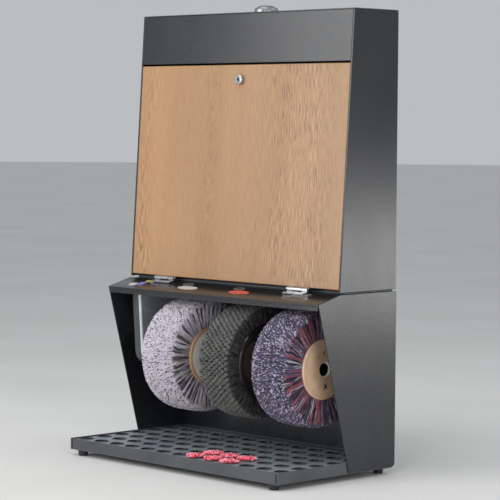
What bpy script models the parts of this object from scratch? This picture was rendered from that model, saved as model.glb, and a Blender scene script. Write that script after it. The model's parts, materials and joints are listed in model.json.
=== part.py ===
"""Floor-standing shoe polishing machine: three brushes on one belt-driven shaft under a cabinet.

Metres, +Z up, +Y towards the back, +X to the right as seen from the front. The origin lies on
the floor under the middle of the machine. Depths run forwards from the back plane, and heights
run upwards from the side panels' lower edges.
"""

import math

import bmesh
import bpy
from mathutils import Vector

MM = 0.001

# Overall sizes and clearances
DEPTH = 320 * MM
BASE_HEIGHT = 14 * MM
SHEET = 2 * MM
FIT = 0.3 * MM
RUN = 0.4 * MM
BACK_INSET = 3 * MM

# Lower case around the brushes
CASE_WIDTH = 604 * MM
CASE_HEIGHT = 343 * MM
CASE_FOOT_DEPTH = 130 * MM
CASE_CORNER = 8 * MM
APRON_FOLD_GAP = 1.1 * MM
APRON_DEPTH = 217.6 * MM
APRON_FALL = 16.1 * MM
APRON_LIP = 12 * MM

# Upper cabinet, leaning back in front
CABINET_STEP = 2 * MM
CABINET_HEIGHT = 539 * MM
CABINET_FOOT_DEPTH = 157.4 * MM
CABINET_TOP_DEPTH = 123.6 * MM
CABINET_SIDE = 3.8 * MM
SEAM = 3.7 * MM
FLOOR_SETBACK = 17 * MM
GASKET_BAR = 10 * MM

# Door, its hinges and its lock
DOOR_THICK = 16 * MM
DOOR_HEIGHT = 431 * MM
DOOR_FOOT_GAP = 5 * MM
DOOR_HEAD_GAP = 3.8 * MM
DOOR_EDGE = 1.2 * MM
LOCK_BELOW_TOP = 30 * MM
LOCK_HEAD_RADIUS = 9.75 * MM
LOCK_HEAD_HEIGHT = 8 * MM
LOCK_BODY_RADIUS = 8 * MM
LOCK_PLUG_RADIUS = 6 * MM
LOCK_STUD_RADIUS = 3.5 * MM
LOCK_TAIL = 5 * MM
CAM_REACH = 44 * MM
CAM_HALF_WIDTH = 7 * MM
CAM_THICK = 2.5 * MM
KEY_SLOT = 1.6 * MM
KEEPER_GAP = 2 * MM
HINGE_FROM_SIDE = 111 * MM
HINGE_WIDTH = 56 * MM
HINGE_TONGUE = 24 * MM
HINGE_RADIUS = 3.6 * MM
HINGE_PIN_RADIUS = 1.9 * MM
HINGE_LEAF = 1.6 * MM
HINGE_LEAF_LENGTH = 16 * MM
HINGE_PROUD = 4 * MM
HINGE_DROP = 4.1 * MM

# Start button on the top panel
BUTTON_DEPTH = 62 * MM
BUTTON_RADIUS = 24 * MM
BUTTON_BEZEL_HEIGHT = 11 * MM
BUTTON_CAP_RADIUS = 18 * MM
BUTTON_CAP_HEIGHT = 16 * MM
BUTTON_TRAVEL = 4 * MM
BUTTON_STEM_RADIUS = 8 * MM
BUTTON_BARREL_RADIUS = 13 * MM
BUTTON_BARREL_LENGTH = 22 * MM
SWITCH_SIZE = 30 * MM

# Tray, mat and sole brushes
TRAY_HEIGHT = 21 * MM
TRAY_DROP = 2 * MM
TRAY_SLIT = 2.2 * MM
TRAY_SLIT_EDGE = 5 * MM
MAT_BACK_DEPTH = 27 * MM
MAT_BELOW_RIM = 1 * MM
MAT_PITCH = 47 * MM
MAT_FIRST_INSET = 28 * MM
MAT_EDGE = 2 * MM
MAT_HOLE_RADIUS = 11.3 * MM
FOOT_RADIUS = 11 * MM
FOOT_TIP_RADIUS = 9.5 * MM
FOOT_FROM_SIDE = 24 * MM
FOOT_FROM_EDGE = 14 * MM
SOLE_BRUSH_COLUMNS = (1, 2, 3)
SOLE_BRUSH_ROWS = (0, 1)
SOLE_PLUG_RADIUS = 9.6 * MM
SOLE_PLUG_PROUD = 1 * MM
SOLE_TUFT_RADIUS = 22 * MM
SOLE_TUFT_HEIGHT = 6 * MM
SOLE_GRID = 5

# Brush shaft and brushes
SHAFT_DEPTH = 140 * MM
SHAFT_BELOW_CASE_TOP = 147.7 * MM
SHAFT_RADIUS = 12.5 * MM
SHAFT_BORE = 11 * MM
SHAFT_RECESS = 2 * MM
POLISH_RADIUS = 115 * MM
POLISH_WIDTH = 92 * MM
POLISH_DISC_RADIUS = 59 * MM
DARK_BRUSH_FROM_SIDE = 103 * MM
CLEAN_RADIUS = 113 * MM
CLEAN_WIDTH = 84 * MM
CLEAN_DISC_RADIUS = 78 * MM
CLEAN_TO_DARK = 149 * MM
LIGHT_TO_CLEAN = 167 * MM
DISC_THICK = 4 * MM
DISC_HOLE_RADIUS = 4 * MM
DISC_HOLE_CIRCLE = 33 * MM
TUFTS_AROUND = 32
POLISH_TUFT_ROWS = 8
CLEAN_TUFT_ROWS = 8
TUFT_FLARE = 1.5
TUFT_SLIM = 0.92

# Shaft bearings on arms from the back panel
BEARING_WALL = 5 * MM
BEARING_WIDTH = 14 * MM
ARM_WIDTH = 12 * MM
ARM_WALL = 7 * MM
ARM_FOOT_WIDTH = 60 * MM
ARM_FOOT_HEIGHT = 76 * MM
ARM_FOOT_THICK = 4 * MM

# Belt drive at the left end
BELT_FROM_SIDE = 44 * MM
BELT_WIDTH = 8 * MM
BELT_THICK = 5 * MM
DRIVEN_RADIUS = 24 * MM
DRIVER_RADIUS = 16 * MM
PULLEY_FLANGE = 3.5 * MM
PULLEY_FLANGE_THICK = 2 * MM
GUARD_THICK = 22 * MM
GUARD_WALL = 2 * MM
GUARD_EDGE = 5 * MM
GUARD_CLEAR = 0.8 * MM
GUARD_FRONT_DEPTH = 182 * MM
GUARD_BEHIND_MOTOR = 22 * MM
GUARD_SHAFT_CLEAR = 3 * MM
BELT_SLOT_FRONT = 52 * MM
BELT_SLOT_REAR = 14 * MM

# Motor and control box on the cabinet floor
MOTOR_SETBACK = 8.4 * MM
MOTOR_RADIUS = 52 * MM
MOTOR_LENGTH = 150 * MM
MOTOR_FROM_BELT = 40 * MM
MOTOR_BELL = 14 * MM
MOTOR_BOSS_RADIUS = 18 * MM
MOTOR_BOSS_LENGTH = 6 * MM
MOTOR_SHAFT_RADIUS = 7 * MM
MOTOR_SHAFT_SEAT = 16 * MM
BRACKET_THICK = 3 * MM
BRACKET_LENGTH = 110 * MM
CONTROL_FROM_SIDE = 152 * MM
CONTROL_SIZE = (150 * MM, 70 * MM, 55 * MM)
CONTROL_EDGE = 3 * MM
CONTROL_DEPTH = 55 * MM

# Cable entry in the lower back panel
ENTRY_FROM_SIDE = 72 * MM
ENTRY_HEIGHT = 60 * MM
ENTRY_RADIUS = 8 * MM
ENTRY_BORE = 4 * MM
ENTRY_FLANGE = 3 * MM
ENTRY_FLANGE_THICK = 2 * MM

# Sides on round pieces
FINE_SIDES = 32
ROUND_SIDES = 24
SMALL_SIDES = 16
HOLE_SIDES = 8

# Places worked out from the sizes above
CABINET_WIDTH = CASE_WIDTH - 2 * CABINET_STEP
APRON_FOLD_DEPTH = CABINET_FOOT_DEPTH + APRON_FOLD_GAP
CABINET_BASE = CASE_HEIGHT + SEAM
CABINET_TOP = CABINET_BASE + CABINET_HEIGHT
SIDE_TOP = CABINET_TOP - SHEET - FIT
LEAN = math.atan2(CABINET_FOOT_DEPTH - CABINET_TOP_DEPTH, CABINET_HEIGHT)
APRON_SLOPE = math.atan2(APRON_FALL, APRON_DEPTH - APRON_FOLD_DEPTH)
CASE_INNER = CASE_WIDTH / 2 - SHEET - FIT
CABINET_INNER = CABINET_WIDTH / 2 - CABINET_SIDE - FIT
BACK_FACE = BACK_INSET + SHEET + FIT
FLOOR_FRONT = CABINET_FOOT_DEPTH - FLOOR_SETBACK
FLOOR_TOP = CABINET_BASE + SHEET
DOOR_BASE = CABINET_BASE + DOOR_FOOT_GAP
HEAD_BASE = DOOR_BASE + DOOR_HEIGHT * math.cos(LEAN) + DOOR_HEAD_GAP
LOCK_ALONG = HINGE_DROP + DOOR_HEIGHT - LOCK_BELOW_TOP
LOCK_END = DOOR_THICK + LOCK_TAIL
KEEPER_DEPTH = LOCK_END + FIT - KEEPER_GAP
HINGE_X = CASE_WIDTH / 2 - HINGE_FROM_SIDE
TRAY_FLOOR = SHEET - TRAY_DROP
FOOT_HEIGHT = BASE_HEIGHT - TRAY_DROP - FIT
MAT_TOP = TRAY_HEIGHT - MAT_BELOW_RIM
MAT_HALF_WIDTH = CASE_INNER - SHEET - FIT - MAT_EDGE - MAT_HOLE_RADIUS
MAT_COLUMNS = 2 * int(MAT_HALF_WIDTH / MAT_PITCH) + 1
MAT_RUN = DEPTH - MAT_FIRST_INSET - MAT_BACK_DEPTH - MAT_EDGE - MAT_HOLE_RADIUS
MAT_ROWS = int(MAT_RUN / MAT_PITCH) + 1
MOTOR_DEPTH = FLOOR_FRONT - MOTOR_SETBACK - MOTOR_RADIUS
MOTOR_HEIGHT = FLOOR_TOP + FIT + BRACKET_THICK + FIT + MOTOR_RADIUS
BELT_X = BELT_FROM_SIDE - CASE_WIDTH / 2
MOTOR_LEFT_X = BELT_X + MOTOR_FROM_BELT
CONTROL_X = CASE_WIDTH / 2 - CONTROL_FROM_SIDE
ENTRY_X = CASE_WIDTH / 2 - ENTRY_FROM_SIDE
DARK_BRUSH_X = CASE_WIDTH / 2 - DARK_BRUSH_FROM_SIDE
CLEAN_BRUSH_X = DARK_BRUSH_X - CLEAN_TO_DARK
LIGHT_BRUSH_X = CLEAN_BRUSH_X - LIGHT_TO_CLEAN
SHAFT_RIGHT_X = DARK_BRUSH_X + POLISH_WIDTH / 2 - SHAFT_RECESS
SHAFT_HEIGHT = CASE_HEIGHT - SHAFT_BELOW_CASE_TOP
PULLEY_HALF = BELT_WIDTH / 2 + RUN + PULLEY_FLANGE_THICK
SHAFT_LEFT_X = BELT_X - PULLEY_HALF - FIT
BELT_OUT = RUN + BELT_THICK
GUARD_RADIUS = DRIVEN_RADIUS + BELT_OUT + GUARD_CLEAR + GUARD_WALL
GUARD_LEFT_X = BELT_X - GUARD_THICK / 2
GUARD_RIGHT_X = BELT_X + GUARD_THICK / 2
GUARD_BACK_DEPTH = MOTOR_DEPTH - GUARD_BEHIND_MOTOR
LEFT_BEARING_X = (GUARD_RIGHT_X + LIGHT_BRUSH_X - POLISH_WIDTH / 2) / 2
RIGHT_BEARING_X = (CLEAN_BRUSH_X + CLEAN_WIDTH / 2 + DARK_BRUSH_X - POLISH_WIDTH / 2) / 2
BEARING_RADIUS = SHAFT_RADIUS + RUN + BEARING_WALL
ARM_RADIUS = BEARING_RADIUS + FIT + ARM_WALL


def back(depth):
    """The y of a point this far in front of the back plane."""
    return DEPTH / 2 - depth


def up(height):
    """The z of a point this far above the side panels' lower edges."""
    return BASE_HEIGHT + height


def spot(depth, height):
    return back(depth), up(height)


def front_depth(height):
    """The depth of the cabinet's leaning front plane at a height."""
    return CABINET_FOOT_DEPTH - (height - CABINET_BASE) * math.tan(LEAN)


def front_spot(height, inset):
    """A point on the leaning front plane, moved squarely into the cabinet."""
    return spot(front_depth(height) - inset * math.cos(LEAN), height - inset * math.sin(LEAN))


def clear_scene():
    for old in list(bpy.data.objects):
        bpy.data.objects.remove(old, do_unlink=True)


def material(name, colour, roughness, metallic=0.0):
    made = bpy.data.materials.new(name)
    made.use_nodes = True
    shader = made.node_tree.nodes["Principled BSDF"]
    shader.inputs["Base Color"].default_value = (*colour, 1.0)
    shader.inputs["Roughness"].default_value = roughness
    shader.inputs["Metallic"].default_value = metallic
    made.diffuse_color = (*colour, 1.0)
    return made


def pivot(name, place, turn=0.0):
    """An empty on a joint's axis, turned about X, that carries the pieces of one moving body."""
    empty = bpy.data.objects.new(name, None)
    empty.location = place
    empty.rotation_euler = (turn, 0.0, 0.0)
    bpy.context.scene.collection.objects.link(empty)
    return empty


def add(name, shape, finish, parent=None, place=(0, 0, 0), smooth=True):
    """Turns a finished bmesh into a named object."""
    bmesh.ops.recalc_face_normals(shape, faces=shape.faces)
    mesh = bpy.data.meshes.new(name)
    shape.to_mesh(mesh)
    shape.free()
    if smooth:
        mesh.shade_smooth()
        mesh.set_sharp_from_angle(angle=math.radians(35))
    made = bpy.data.objects.new(name, mesh)
    made.location = place
    made.parent = parent
    bpy.context.scene.collection.objects.link(made)
    if finish:
        mesh.materials.append(finish)
    return made


def combine(target, shape, operation, parent=None, place=(0, 0, 0)):
    """Cuts a shape out of an object, or joins the shape to it, with a Boolean."""
    helper = add(f"{target.name}_helper", shape, None, parent, place, smooth=False)
    helper.hide_render = True
    helper.display_type = "WIRE"
    boolean = target.modifiers.new("combine", "BOOLEAN")
    boolean.operation = operation
    boolean.solver = "EXACT"
    boolean.object = helper


def cut(target, shape, parent=None, place=(0, 0, 0)):
    combine(target, shape, "DIFFERENCE", parent, place)


def join(target, shape, parent=None, place=(0, 0, 0)):
    combine(target, shape, "UNION", parent, place)


def round_edges(made, width, segments=2):
    bevel = made.modifiers.new("edges", "BEVEL")
    bevel.width = width
    bevel.segments = segments
    bevel.limit_method = "ANGLE"
    bevel.angle_limit = math.radians(40)


def prism(outline, low, high, direction="X"):
    """An outline in the plane across X, or flat for Z, pulled from low to high."""
    shape = bmesh.new()
    if direction == "X":
        corners = [shape.verts.new((low, y, z)) for y, z in outline]
        travel = (high - low, 0, 0)
    else:
        corners = [shape.verts.new((x, y, low)) for x, y in outline]
        travel = (0, 0, high - low)
    face = shape.faces.new(corners)
    pulled = bmesh.ops.extrude_face_region(shape, geom=[face], use_keep_orig=True)
    moved = [item for item in pulled["geom"] if isinstance(item, bmesh.types.BMVert)]
    bmesh.ops.translate(shape, vec=travel, verts=moved)
    return shape


def block(low, high):
    """A box between two corners."""
    outline = [(low[1], low[2]), (high[1], low[2]), (high[1], high[2]), (low[1], high[2])]
    return prism(outline, low[0], high[0])


def turned(profile, sides, axis="X", ring=False):
    """A profile of (along, radius) points spun about an axis; a ring's profile closes on itself."""
    along = Vector((1, 0, 0)) if axis == "X" else Vector((0, 0, 1))
    if axis == "Y":
        along = Vector((0, 1, 0))
    across = Vector((0, 0, 1)) if axis != "Z" else Vector((1, 0, 0))
    shape = bmesh.new()
    points = [shape.verts.new(along * place + across * radius) for place, radius in profile]
    edges = [shape.edges.new(pair) for pair in zip(points, points[1:])]
    if ring:
        edges.append(shape.edges.new((points[-1], points[0])))
    bmesh.ops.spin(
        shape,
        geom=points + edges,
        cent=(0, 0, 0),
        axis=along,
        angle=math.tau,
        steps=sides,
        use_merge=True,
    )
    bmesh.ops.remove_doubles(shape, verts=shape.verts, dist=0.001 * MM)
    return shape


def rod(low, high, radius, sides, axis="X"):
    return turned([(low, 0), (low, radius), (high, radius), (high, 0)], sides, axis)


def tube(low, high, radius, bore, sides, axis="X"):
    profile = [(low, bore), (low, radius), (high, radius), (high, bore)]
    return turned(profile, sides, axis, ring=True)


def arc(centre, radius, start, end, steps):
    """Points along an arc, with both ends."""
    angles = [start + (end - start) * step / steps for step in range(steps + 1)]
    return [(centre[0] + radius * math.cos(a), centre[1] + radius * math.sin(a)) for a in angles]


def folded(points, thick):
    """The outline of a sheet bent along a line of points, as thick as asked to its left."""
    line = [Vector(point) for point in points]
    normals = []
    for first, second in zip(line, line[1:]):
        way = (second - first).normalized()
        normals.append(Vector((-way.y, way.x)))
    inner = [line[0] + normals[0] * thick]
    for corner, before, after in zip(line[1:-1], normals, normals[1:]):
        middle = (before + after).normalized()
        inner.append(corner + middle * thick / middle.dot(before))
    inner.append(line[-1] + normals[-1] * thick)
    return [tuple(point) for point in line + inner[::-1]]


def wrap(first, first_radius, second, second_radius, steps):
    """The outline of a belt drawn tight around two circles."""
    run = Vector(second) - Vector(first)
    heading = math.atan2(run.y, run.x)
    lead = math.acos((first_radius - second_radius) / run.length)
    around_first = arc(first, first_radius, heading + lead, heading + math.tau - lead, steps)
    around_second = arc(second, second_radius, heading - lead, heading + lead, steps)
    return around_first + around_second


def loop_prism(outer, inner, low, high):
    """A closed band between two outlines of as many points, pulled along X."""
    shape = bmesh.new()
    rails = []
    for outline, x in ((outer, low), (outer, high), (inner, high), (inner, low)):
        rails.append([shape.verts.new((x, y, z)) for y, z in outline])
    count = len(outer)
    for rail, following in zip(rails, rails[1:] + rails[:1]):
        for index in range(count):
            beside = (index + 1) % count
            shape.faces.new((rail[index], rail[beside], following[beside], following[index]))
    return shape


def make_lower_case(steel):
    corner = arc(spot(CASE_CORNER, CASE_CORNER), CASE_CORNER, -math.pi / 2, 0, 4)
    outline = corner + [
        spot(0, CASE_HEIGHT),
        spot(APRON_FOLD_DEPTH, CASE_HEIGHT),
        spot(APRON_DEPTH, CASE_HEIGHT - APRON_FALL),
        spot(CASE_FOOT_DEPTH, 0),
    ]
    outside = CASE_WIDTH / 2
    add("lower_left_panel", prism(outline, -outside, SHEET - outside), steel, smooth=False)
    add("lower_right_panel", prism(outline, outside - SHEET, outside), steel, smooth=False)
    low = (-CASE_INNER, back(BACK_INSET + SHEET), up(0))
    high = (CASE_INNER, back(BACK_INSET), up(CASE_HEIGHT - SHEET - FIT))
    panel = add("lower_back_panel", block(low, high), steel, smooth=False)
    hole = rod(-SHEET, SHEET, ENTRY_RADIUS + FIT, SMALL_SIDES, "Y")
    cut(panel, hole, place=(ENTRY_X, back(BACK_INSET + SHEET / 2), up(ENTRY_HEIGHT)))


def belt_slot(height):
    """A cutter through the plates that the belt passes."""
    half = GUARD_THICK / 2
    front = MOTOR_DEPTH + BELT_SLOT_FRONT
    rear = MOTOR_DEPTH - BELT_SLOT_REAR
    low = (BELT_X - half, back(front), up(height - SHEET))
    high = (BELT_X + half, back(rear), up(height + 2 * SHEET))
    return block(low, high)


def make_apron(steel):
    line = [
        spot(BACK_FACE, CASE_HEIGHT),
        spot(APRON_FOLD_DEPTH, CASE_HEIGHT),
        spot(APRON_DEPTH, CASE_HEIGHT - APRON_FALL),
        spot(APRON_DEPTH, CASE_HEIGHT - APRON_FALL - APRON_LIP),
    ]
    shape = prism(folded(line, SHEET), -CASE_INNER, CASE_INNER)
    apron = add("apron", shape, steel, smooth=False)
    cut(apron, belt_slot(CASE_HEIGHT - SHEET))


def make_cabinet(steel, rubber):
    outline = [
        spot(0, CABINET_BASE),
        spot(front_depth(CABINET_BASE), CABINET_BASE),
        spot(front_depth(SIDE_TOP), SIDE_TOP),
        spot(0, SIDE_TOP),
    ]
    outside = CABINET_WIDTH / 2
    add("upper_left_panel", prism(outline, -outside, CABINET_SIDE - outside), steel, smooth=False)
    add("upper_right_panel", prism(outline, outside - CABINET_SIDE, outside), steel, smooth=False)
    low = (-CABINET_INNER, back(BACK_INSET + SHEET), up(CABINET_BASE))
    high = (CABINET_INNER, back(BACK_INSET), up(SIDE_TOP))
    add("upper_back_panel", block(low, high), steel, smooth=False)
    low = (-CABINET_INNER, back(FLOOR_FRONT), up(CABINET_BASE))
    high = (CABINET_INNER, back(BACK_FACE), up(FLOOR_TOP))
    floor = add("cabinet_floor", block(low, high), steel, smooth=False)
    cut(floor, belt_slot(CABINET_BASE))
    line = [
        front_spot(SIDE_TOP, 0),
        front_spot(HEAD_BASE, 0),
        front_spot(HEAD_BASE, KEEPER_DEPTH),
    ]
    add("head_panel", prism(folded(line, SHEET), -CABINET_INNER, CABINET_INNER), steel, smooth=False)
    under = CABINET_TOP - SHEET
    outline = [
        spot(0, under),
        spot(front_depth(under), under),
        spot(front_depth(CABINET_TOP), CABINET_TOP),
        spot(0, CABINET_TOP),
    ]
    lid = add("top_panel", prism(outline, -outside, outside), steel, smooth=False)
    hole = rod(-SHEET, SHEET, BUTTON_BARREL_RADIUS + FIT, ROUND_SIDES, "Z")
    cut(lid, hole, place=(0, back(BUTTON_DEPTH), up(CABINET_TOP - SHEET / 2)))
    gasket_low, gasket_high = up(CASE_HEIGHT + FIT), up(CABINET_BASE - FIT)
    rear = back(BACK_FACE)
    front = back(FLOOR_FRONT)
    low = (-CABINET_INNER, front, gasket_low)
    high = (CABINET_INNER, rear, gasket_high)
    gasket = add("seam_gasket", block(low, high), rubber, smooth=False)
    low = (GASKET_BAR - CABINET_INNER, front + GASKET_BAR, gasket_low - SEAM)
    high = (CABINET_INNER - GASKET_BAR, rear - GASKET_BAR, gasket_high + SEAM)
    cut(gasket, block(low, high))


def make_tray(steel, rubber):
    low = (-CASE_INNER, back(DEPTH), up(-TRAY_DROP))
    high = (CASE_INNER, back(BACK_FACE), up(TRAY_HEIGHT))
    shape = block(low, high)
    bmesh.ops.recalc_face_normals(shape, faces=shape.faces)
    top = max(shape.faces, key=lambda face: face.calc_center_median().z)
    bmesh.ops.inset_region(shape, faces=[top], thickness=SHEET)
    sunk = bmesh.ops.extrude_discrete_faces(shape, faces=[top])["faces"][0]
    bmesh.ops.translate(shape, vec=(0, 0, TRAY_FLOOR - TRAY_HEIGHT), verts=sunk.verts)
    tray = add("base_tray", shape, steel, smooth=False)
    for side in (-1, 1):
        middle = side * (CASE_INNER - TRAY_SLIT_EDGE)
        low = (middle - TRAY_SLIT / 2, back(DEPTH) - SHEET, up(TRAY_FLOOR))
        high = (middle + TRAY_SLIT / 2, back(DEPTH) + 2 * SHEET, up(TRAY_HEIGHT + SHEET))
        cut(tray, block(low, high))
    profile = [(0, 0), (0, FOOT_TIP_RADIUS), (FOOT_HEIGHT, FOOT_RADIUS), (FOOT_HEIGHT, 0)]
    for end, depth in (("front", DEPTH - FOOT_FROM_EDGE), ("rear", BACK_FACE + FOOT_FROM_EDGE)):
        for side, sign in (("left", -1), ("right", 1)):
            place = (sign * (CASE_INNER - FOOT_FROM_SIDE), back(depth), 0)
            add(f"foot_{end}_{side}", turned(profile, SMALL_SIDES, "Z"), rubber, place=place)


def mat_hole_centre(column, row):
    x = (column - (MAT_COLUMNS - 1) / 2) * MAT_PITCH
    return x, back(DEPTH - MAT_FIRST_INSET - row * MAT_PITCH)


def make_mat(rubber):
    edge = SHEET + FIT
    low = (edge - CASE_INNER, back(DEPTH - edge), up(TRAY_FLOOR + FIT))
    high = (CASE_INNER - edge, back(MAT_BACK_DEPTH), up(MAT_TOP))
    mat = add("rubber_mat", block(low, high), rubber, smooth=False)
    holes = bmesh.new()
    for column in range(MAT_COLUMNS):
        for row in range(MAT_ROWS):
            x, y = mat_hole_centre(column, row)
            first = len(holes.verts)
            bmesh.ops.create_cone(
                holes,
                cap_ends=True,
                segments=HOLE_SIDES,
                radius1=MAT_HOLE_RADIUS,
                radius2=MAT_HOLE_RADIUS,
                depth=2 * TRAY_HEIGHT,
            )
            bmesh.ops.translate(holes, vec=(x, y, up(MAT_TOP / 2)), verts=holes.verts[first:])
            holes.verts.ensure_lookup_table()
    cut(mat, holes)


def disc_point(across, along, radius):
    """Maps a square from -1 to 1 onto a disc."""
    x = across * math.sqrt(1 - along * along / 2)
    y = along * math.sqrt(1 - across * across / 2)
    return Vector((x * radius, y * radius, 0))


def make_sole_brush(name, place, bristle):
    """A round plug in a mat hole with tufts that fan out over the mat."""
    shape = bmesh.new()
    plug_top = MAT_TOP + SOLE_PLUG_PROUD - TRAY_FLOOR - FIT
    grid = []
    for row in range(SOLE_GRID + 1):
        line = []
        for column in range(SOLE_GRID + 1):
            across = 2 * column / SOLE_GRID - 1
            along = 2 * row / SOLE_GRID - 1
            flat = disc_point(across, along, SOLE_PLUG_RADIUS)
            line.append(shape.verts.new(flat + Vector((0, 0, plug_top))))
        grid.append(line)
    tufts = []
    for row in range(SOLE_GRID):
        for column in range(SOLE_GRID):
            lower, upper = grid[row], grid[row + 1]
            corners = (lower[column], lower[column + 1], upper[column + 1], upper[column])
            face = shape.faces.new(corners)
            if (row + column) % 2 == 0:
                tufts.append(face)
    rim = grid[0][:-1] + [line[-1] for line in grid[:-1]]
    rim += grid[-1][:0:-1] + [line[0] for line in grid[:0:-1]]
    floor = [shape.verts.new((point.co.x, point.co.y, 0)) for point in rim]
    for index, point in enumerate(rim):
        beside = (index + 1) % len(rim)
        shape.faces.new((point, floor[index], floor[beside], rim[beside]))
    shape.faces.new(floor[::-1])
    bmesh.ops.recalc_face_normals(shape, faces=shape.faces)
    spread = SOLE_TUFT_RADIUS / SOLE_PLUG_RADIUS
    for face in bmesh.ops.extrude_discrete_faces(shape, faces=tufts)["faces"]:
        middle = face.calc_center_median()
        for point in face.verts:
            slim = (point.co - middle) * TUFT_SLIM
            point.co = Vector((middle.x * spread, middle.y * spread, middle.z)) + slim
            point.co.z += SOLE_TUFT_HEIGHT
    add(name, shape, bristle, place=place, smooth=False)


def make_sole_brushes(bristle):
    number = 0
    for row in SOLE_BRUSH_ROWS:
        for column in SOLE_BRUSH_COLUMNS:
            number += 1
            x, y = mat_hole_centre(MAT_COLUMNS // 2 + column, row)
            make_sole_brush(f"sole_brush_{number}", (x, y, up(TRAY_FLOOR + FIT)), bristle)


def brush_shape(width, core_radius, tip_radius, rows):
    """A bored core with tufts on every other patch, each fanning out to the tip radius."""
    shape = bmesh.new()
    half = width / 2 - DISC_THICK - FIT
    bore = SHAFT_RADIUS + FIT

    def ring(x, radius):
        turns = [math.tau * index / TUFTS_AROUND for index in range(TUFTS_AROUND)]
        return [shape.verts.new((x, radius * math.cos(a), radius * math.sin(a))) for a in turns]

    rings = [ring(-half + 2 * half * row / rows, core_radius) for row in range(rows + 1)]
    rings += [ring(half, bore), ring(-half, bore)]
    tufts = []
    for row, (first, second) in enumerate(zip(rings, rings[1:] + rings[:1])):
        for index in range(TUFTS_AROUND):
            beside = (index + 1) % TUFTS_AROUND
            face = shape.faces.new((first[index], first[beside], second[beside], second[index]))
            if row < rows and (row + index) % 2 == 0:
                tufts.append(face)
    bmesh.ops.recalc_face_normals(shape, faces=shape.faces)
    spread = width / 2 / half
    for face in bmesh.ops.extrude_discrete_faces(shape, faces=tufts)["faces"]:
        middle = face.calc_center_median()
        heading = math.atan2(middle.z, middle.y)
        for point in face.verts:
            turn = math.atan2(point.co.z, point.co.y) - heading
            turn = (turn + math.pi) % math.tau - math.pi
            angle = heading + turn * TUFT_FLARE
            x = spread * (middle.x + (point.co.x - middle.x) * TUFT_SLIM)
            point.co = (x, tip_radius * math.cos(angle), tip_radius * math.sin(angle))
    return shape


def make_brush(name, x, width, disc_radius, tip_radius, rows, bristle, disc_finish, axle):
    shape = brush_shape(width, disc_radius, tip_radius, rows)
    add(name, shape, bristle, axle, (x, 0, 0), smooth=False)
    for side, sign in (("left", -1), ("right", 1)):
        middle = x + sign * (width - DISC_THICK) / 2
        half = DISC_THICK / 2
        shape = tube(-half, half, disc_radius, SHAFT_RADIUS + FIT, FINE_SIDES)
        disc = add(f"{name}_{side}_disc", shape, disc_finish, axle, (middle, 0, 0))
        for way in (-1, 1):
            hole = rod(-DISC_THICK, DISC_THICK, DISC_HOLE_RADIUS, HOLE_SIDES)
            cut(disc, hole, axle, (middle, 0, way * DISC_HOLE_CIRCLE))


def make_shaft(steel, axle):
    shape = tube(SHAFT_LEFT_X, SHAFT_RIGHT_X, SHAFT_RADIUS, SHAFT_BORE, FINE_SIDES)
    add("brush_shaft", shape, steel, axle)


def make_bearings(steel, brass):
    for number, x in enumerate((LEFT_BEARING_X, RIGHT_BEARING_X), 1):
        centre = (x, *spot(SHAFT_DEPTH, SHAFT_HEIGHT))
        reach = SHAFT_DEPTH - BACK_FACE
        outline = arc((0, 0), ARM_RADIUS, math.pi / 2, 3 * math.pi / 2, 12)
        outline += [(reach - ARM_FOOT_THICK / 2, -ARM_RADIUS), (reach - ARM_FOOT_THICK / 2, ARM_RADIUS)]
        shape = prism(outline, -ARM_WIDTH / 2, ARM_WIDTH / 2)
        arm = add(f"bearing_arm_{number}", shape, steel, place=centre, smooth=False)
        low = (-ARM_FOOT_WIDTH / 2, reach - ARM_FOOT_THICK, -ARM_FOOT_HEIGHT / 2)
        high = (ARM_FOOT_WIDTH / 2, reach, ARM_FOOT_HEIGHT / 2)
        join(arm, block(low, high), place=centre)
        cut(arm, rod(-ARM_WIDTH, ARM_WIDTH, BEARING_RADIUS + FIT, FINE_SIDES), place=centre)
        half = BEARING_WIDTH / 2
        shape = tube(-half, half, BEARING_RADIUS, SHAFT_RADIUS + RUN, FINE_SIDES)
        add(f"bearing_{number}", shape, brass, place=centre)


def pulley(groove_radius, bore):
    inner = BELT_WIDTH / 2 + RUN
    flange = groove_radius + PULLEY_FLANGE
    profile = [
        (-PULLEY_HALF, bore),
        (-PULLEY_HALF, flange),
        (-inner, flange),
        (-inner, groove_radius),
        (inner, groove_radius),
        (inner, flange),
        (PULLEY_HALF, flange),
        (PULLEY_HALF, bore),
    ]
    return turned(profile, ROUND_SIDES, ring=True)


def make_belt_drive(black, grey, axle, rotor):
    add("driven_pulley", pulley(DRIVEN_RADIUS, SHAFT_RADIUS + FIT), grey, axle, (BELT_X, 0, 0))
    add("motor_pulley", pulley(DRIVER_RADIUS, MOTOR_SHAFT_RADIUS + FIT), grey, rotor, (BELT_X, 0, 0))
    shaft_spot = spot(SHAFT_DEPTH, SHAFT_HEIGHT)
    motor_spot = spot(MOTOR_DEPTH, MOTOR_HEIGHT)
    outlines = []
    for gap in (BELT_OUT, RUN):
        outlines.append(
            wrap(shaft_spot, DRIVEN_RADIUS + gap, motor_spot, DRIVER_RADIUS + gap, ROUND_SIDES // 2)
        )
    shape = loop_prism(*outlines, BELT_X - BELT_WIDTH / 2, BELT_X + BELT_WIDTH / 2)
    add("drive_belt", shape, black)


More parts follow.
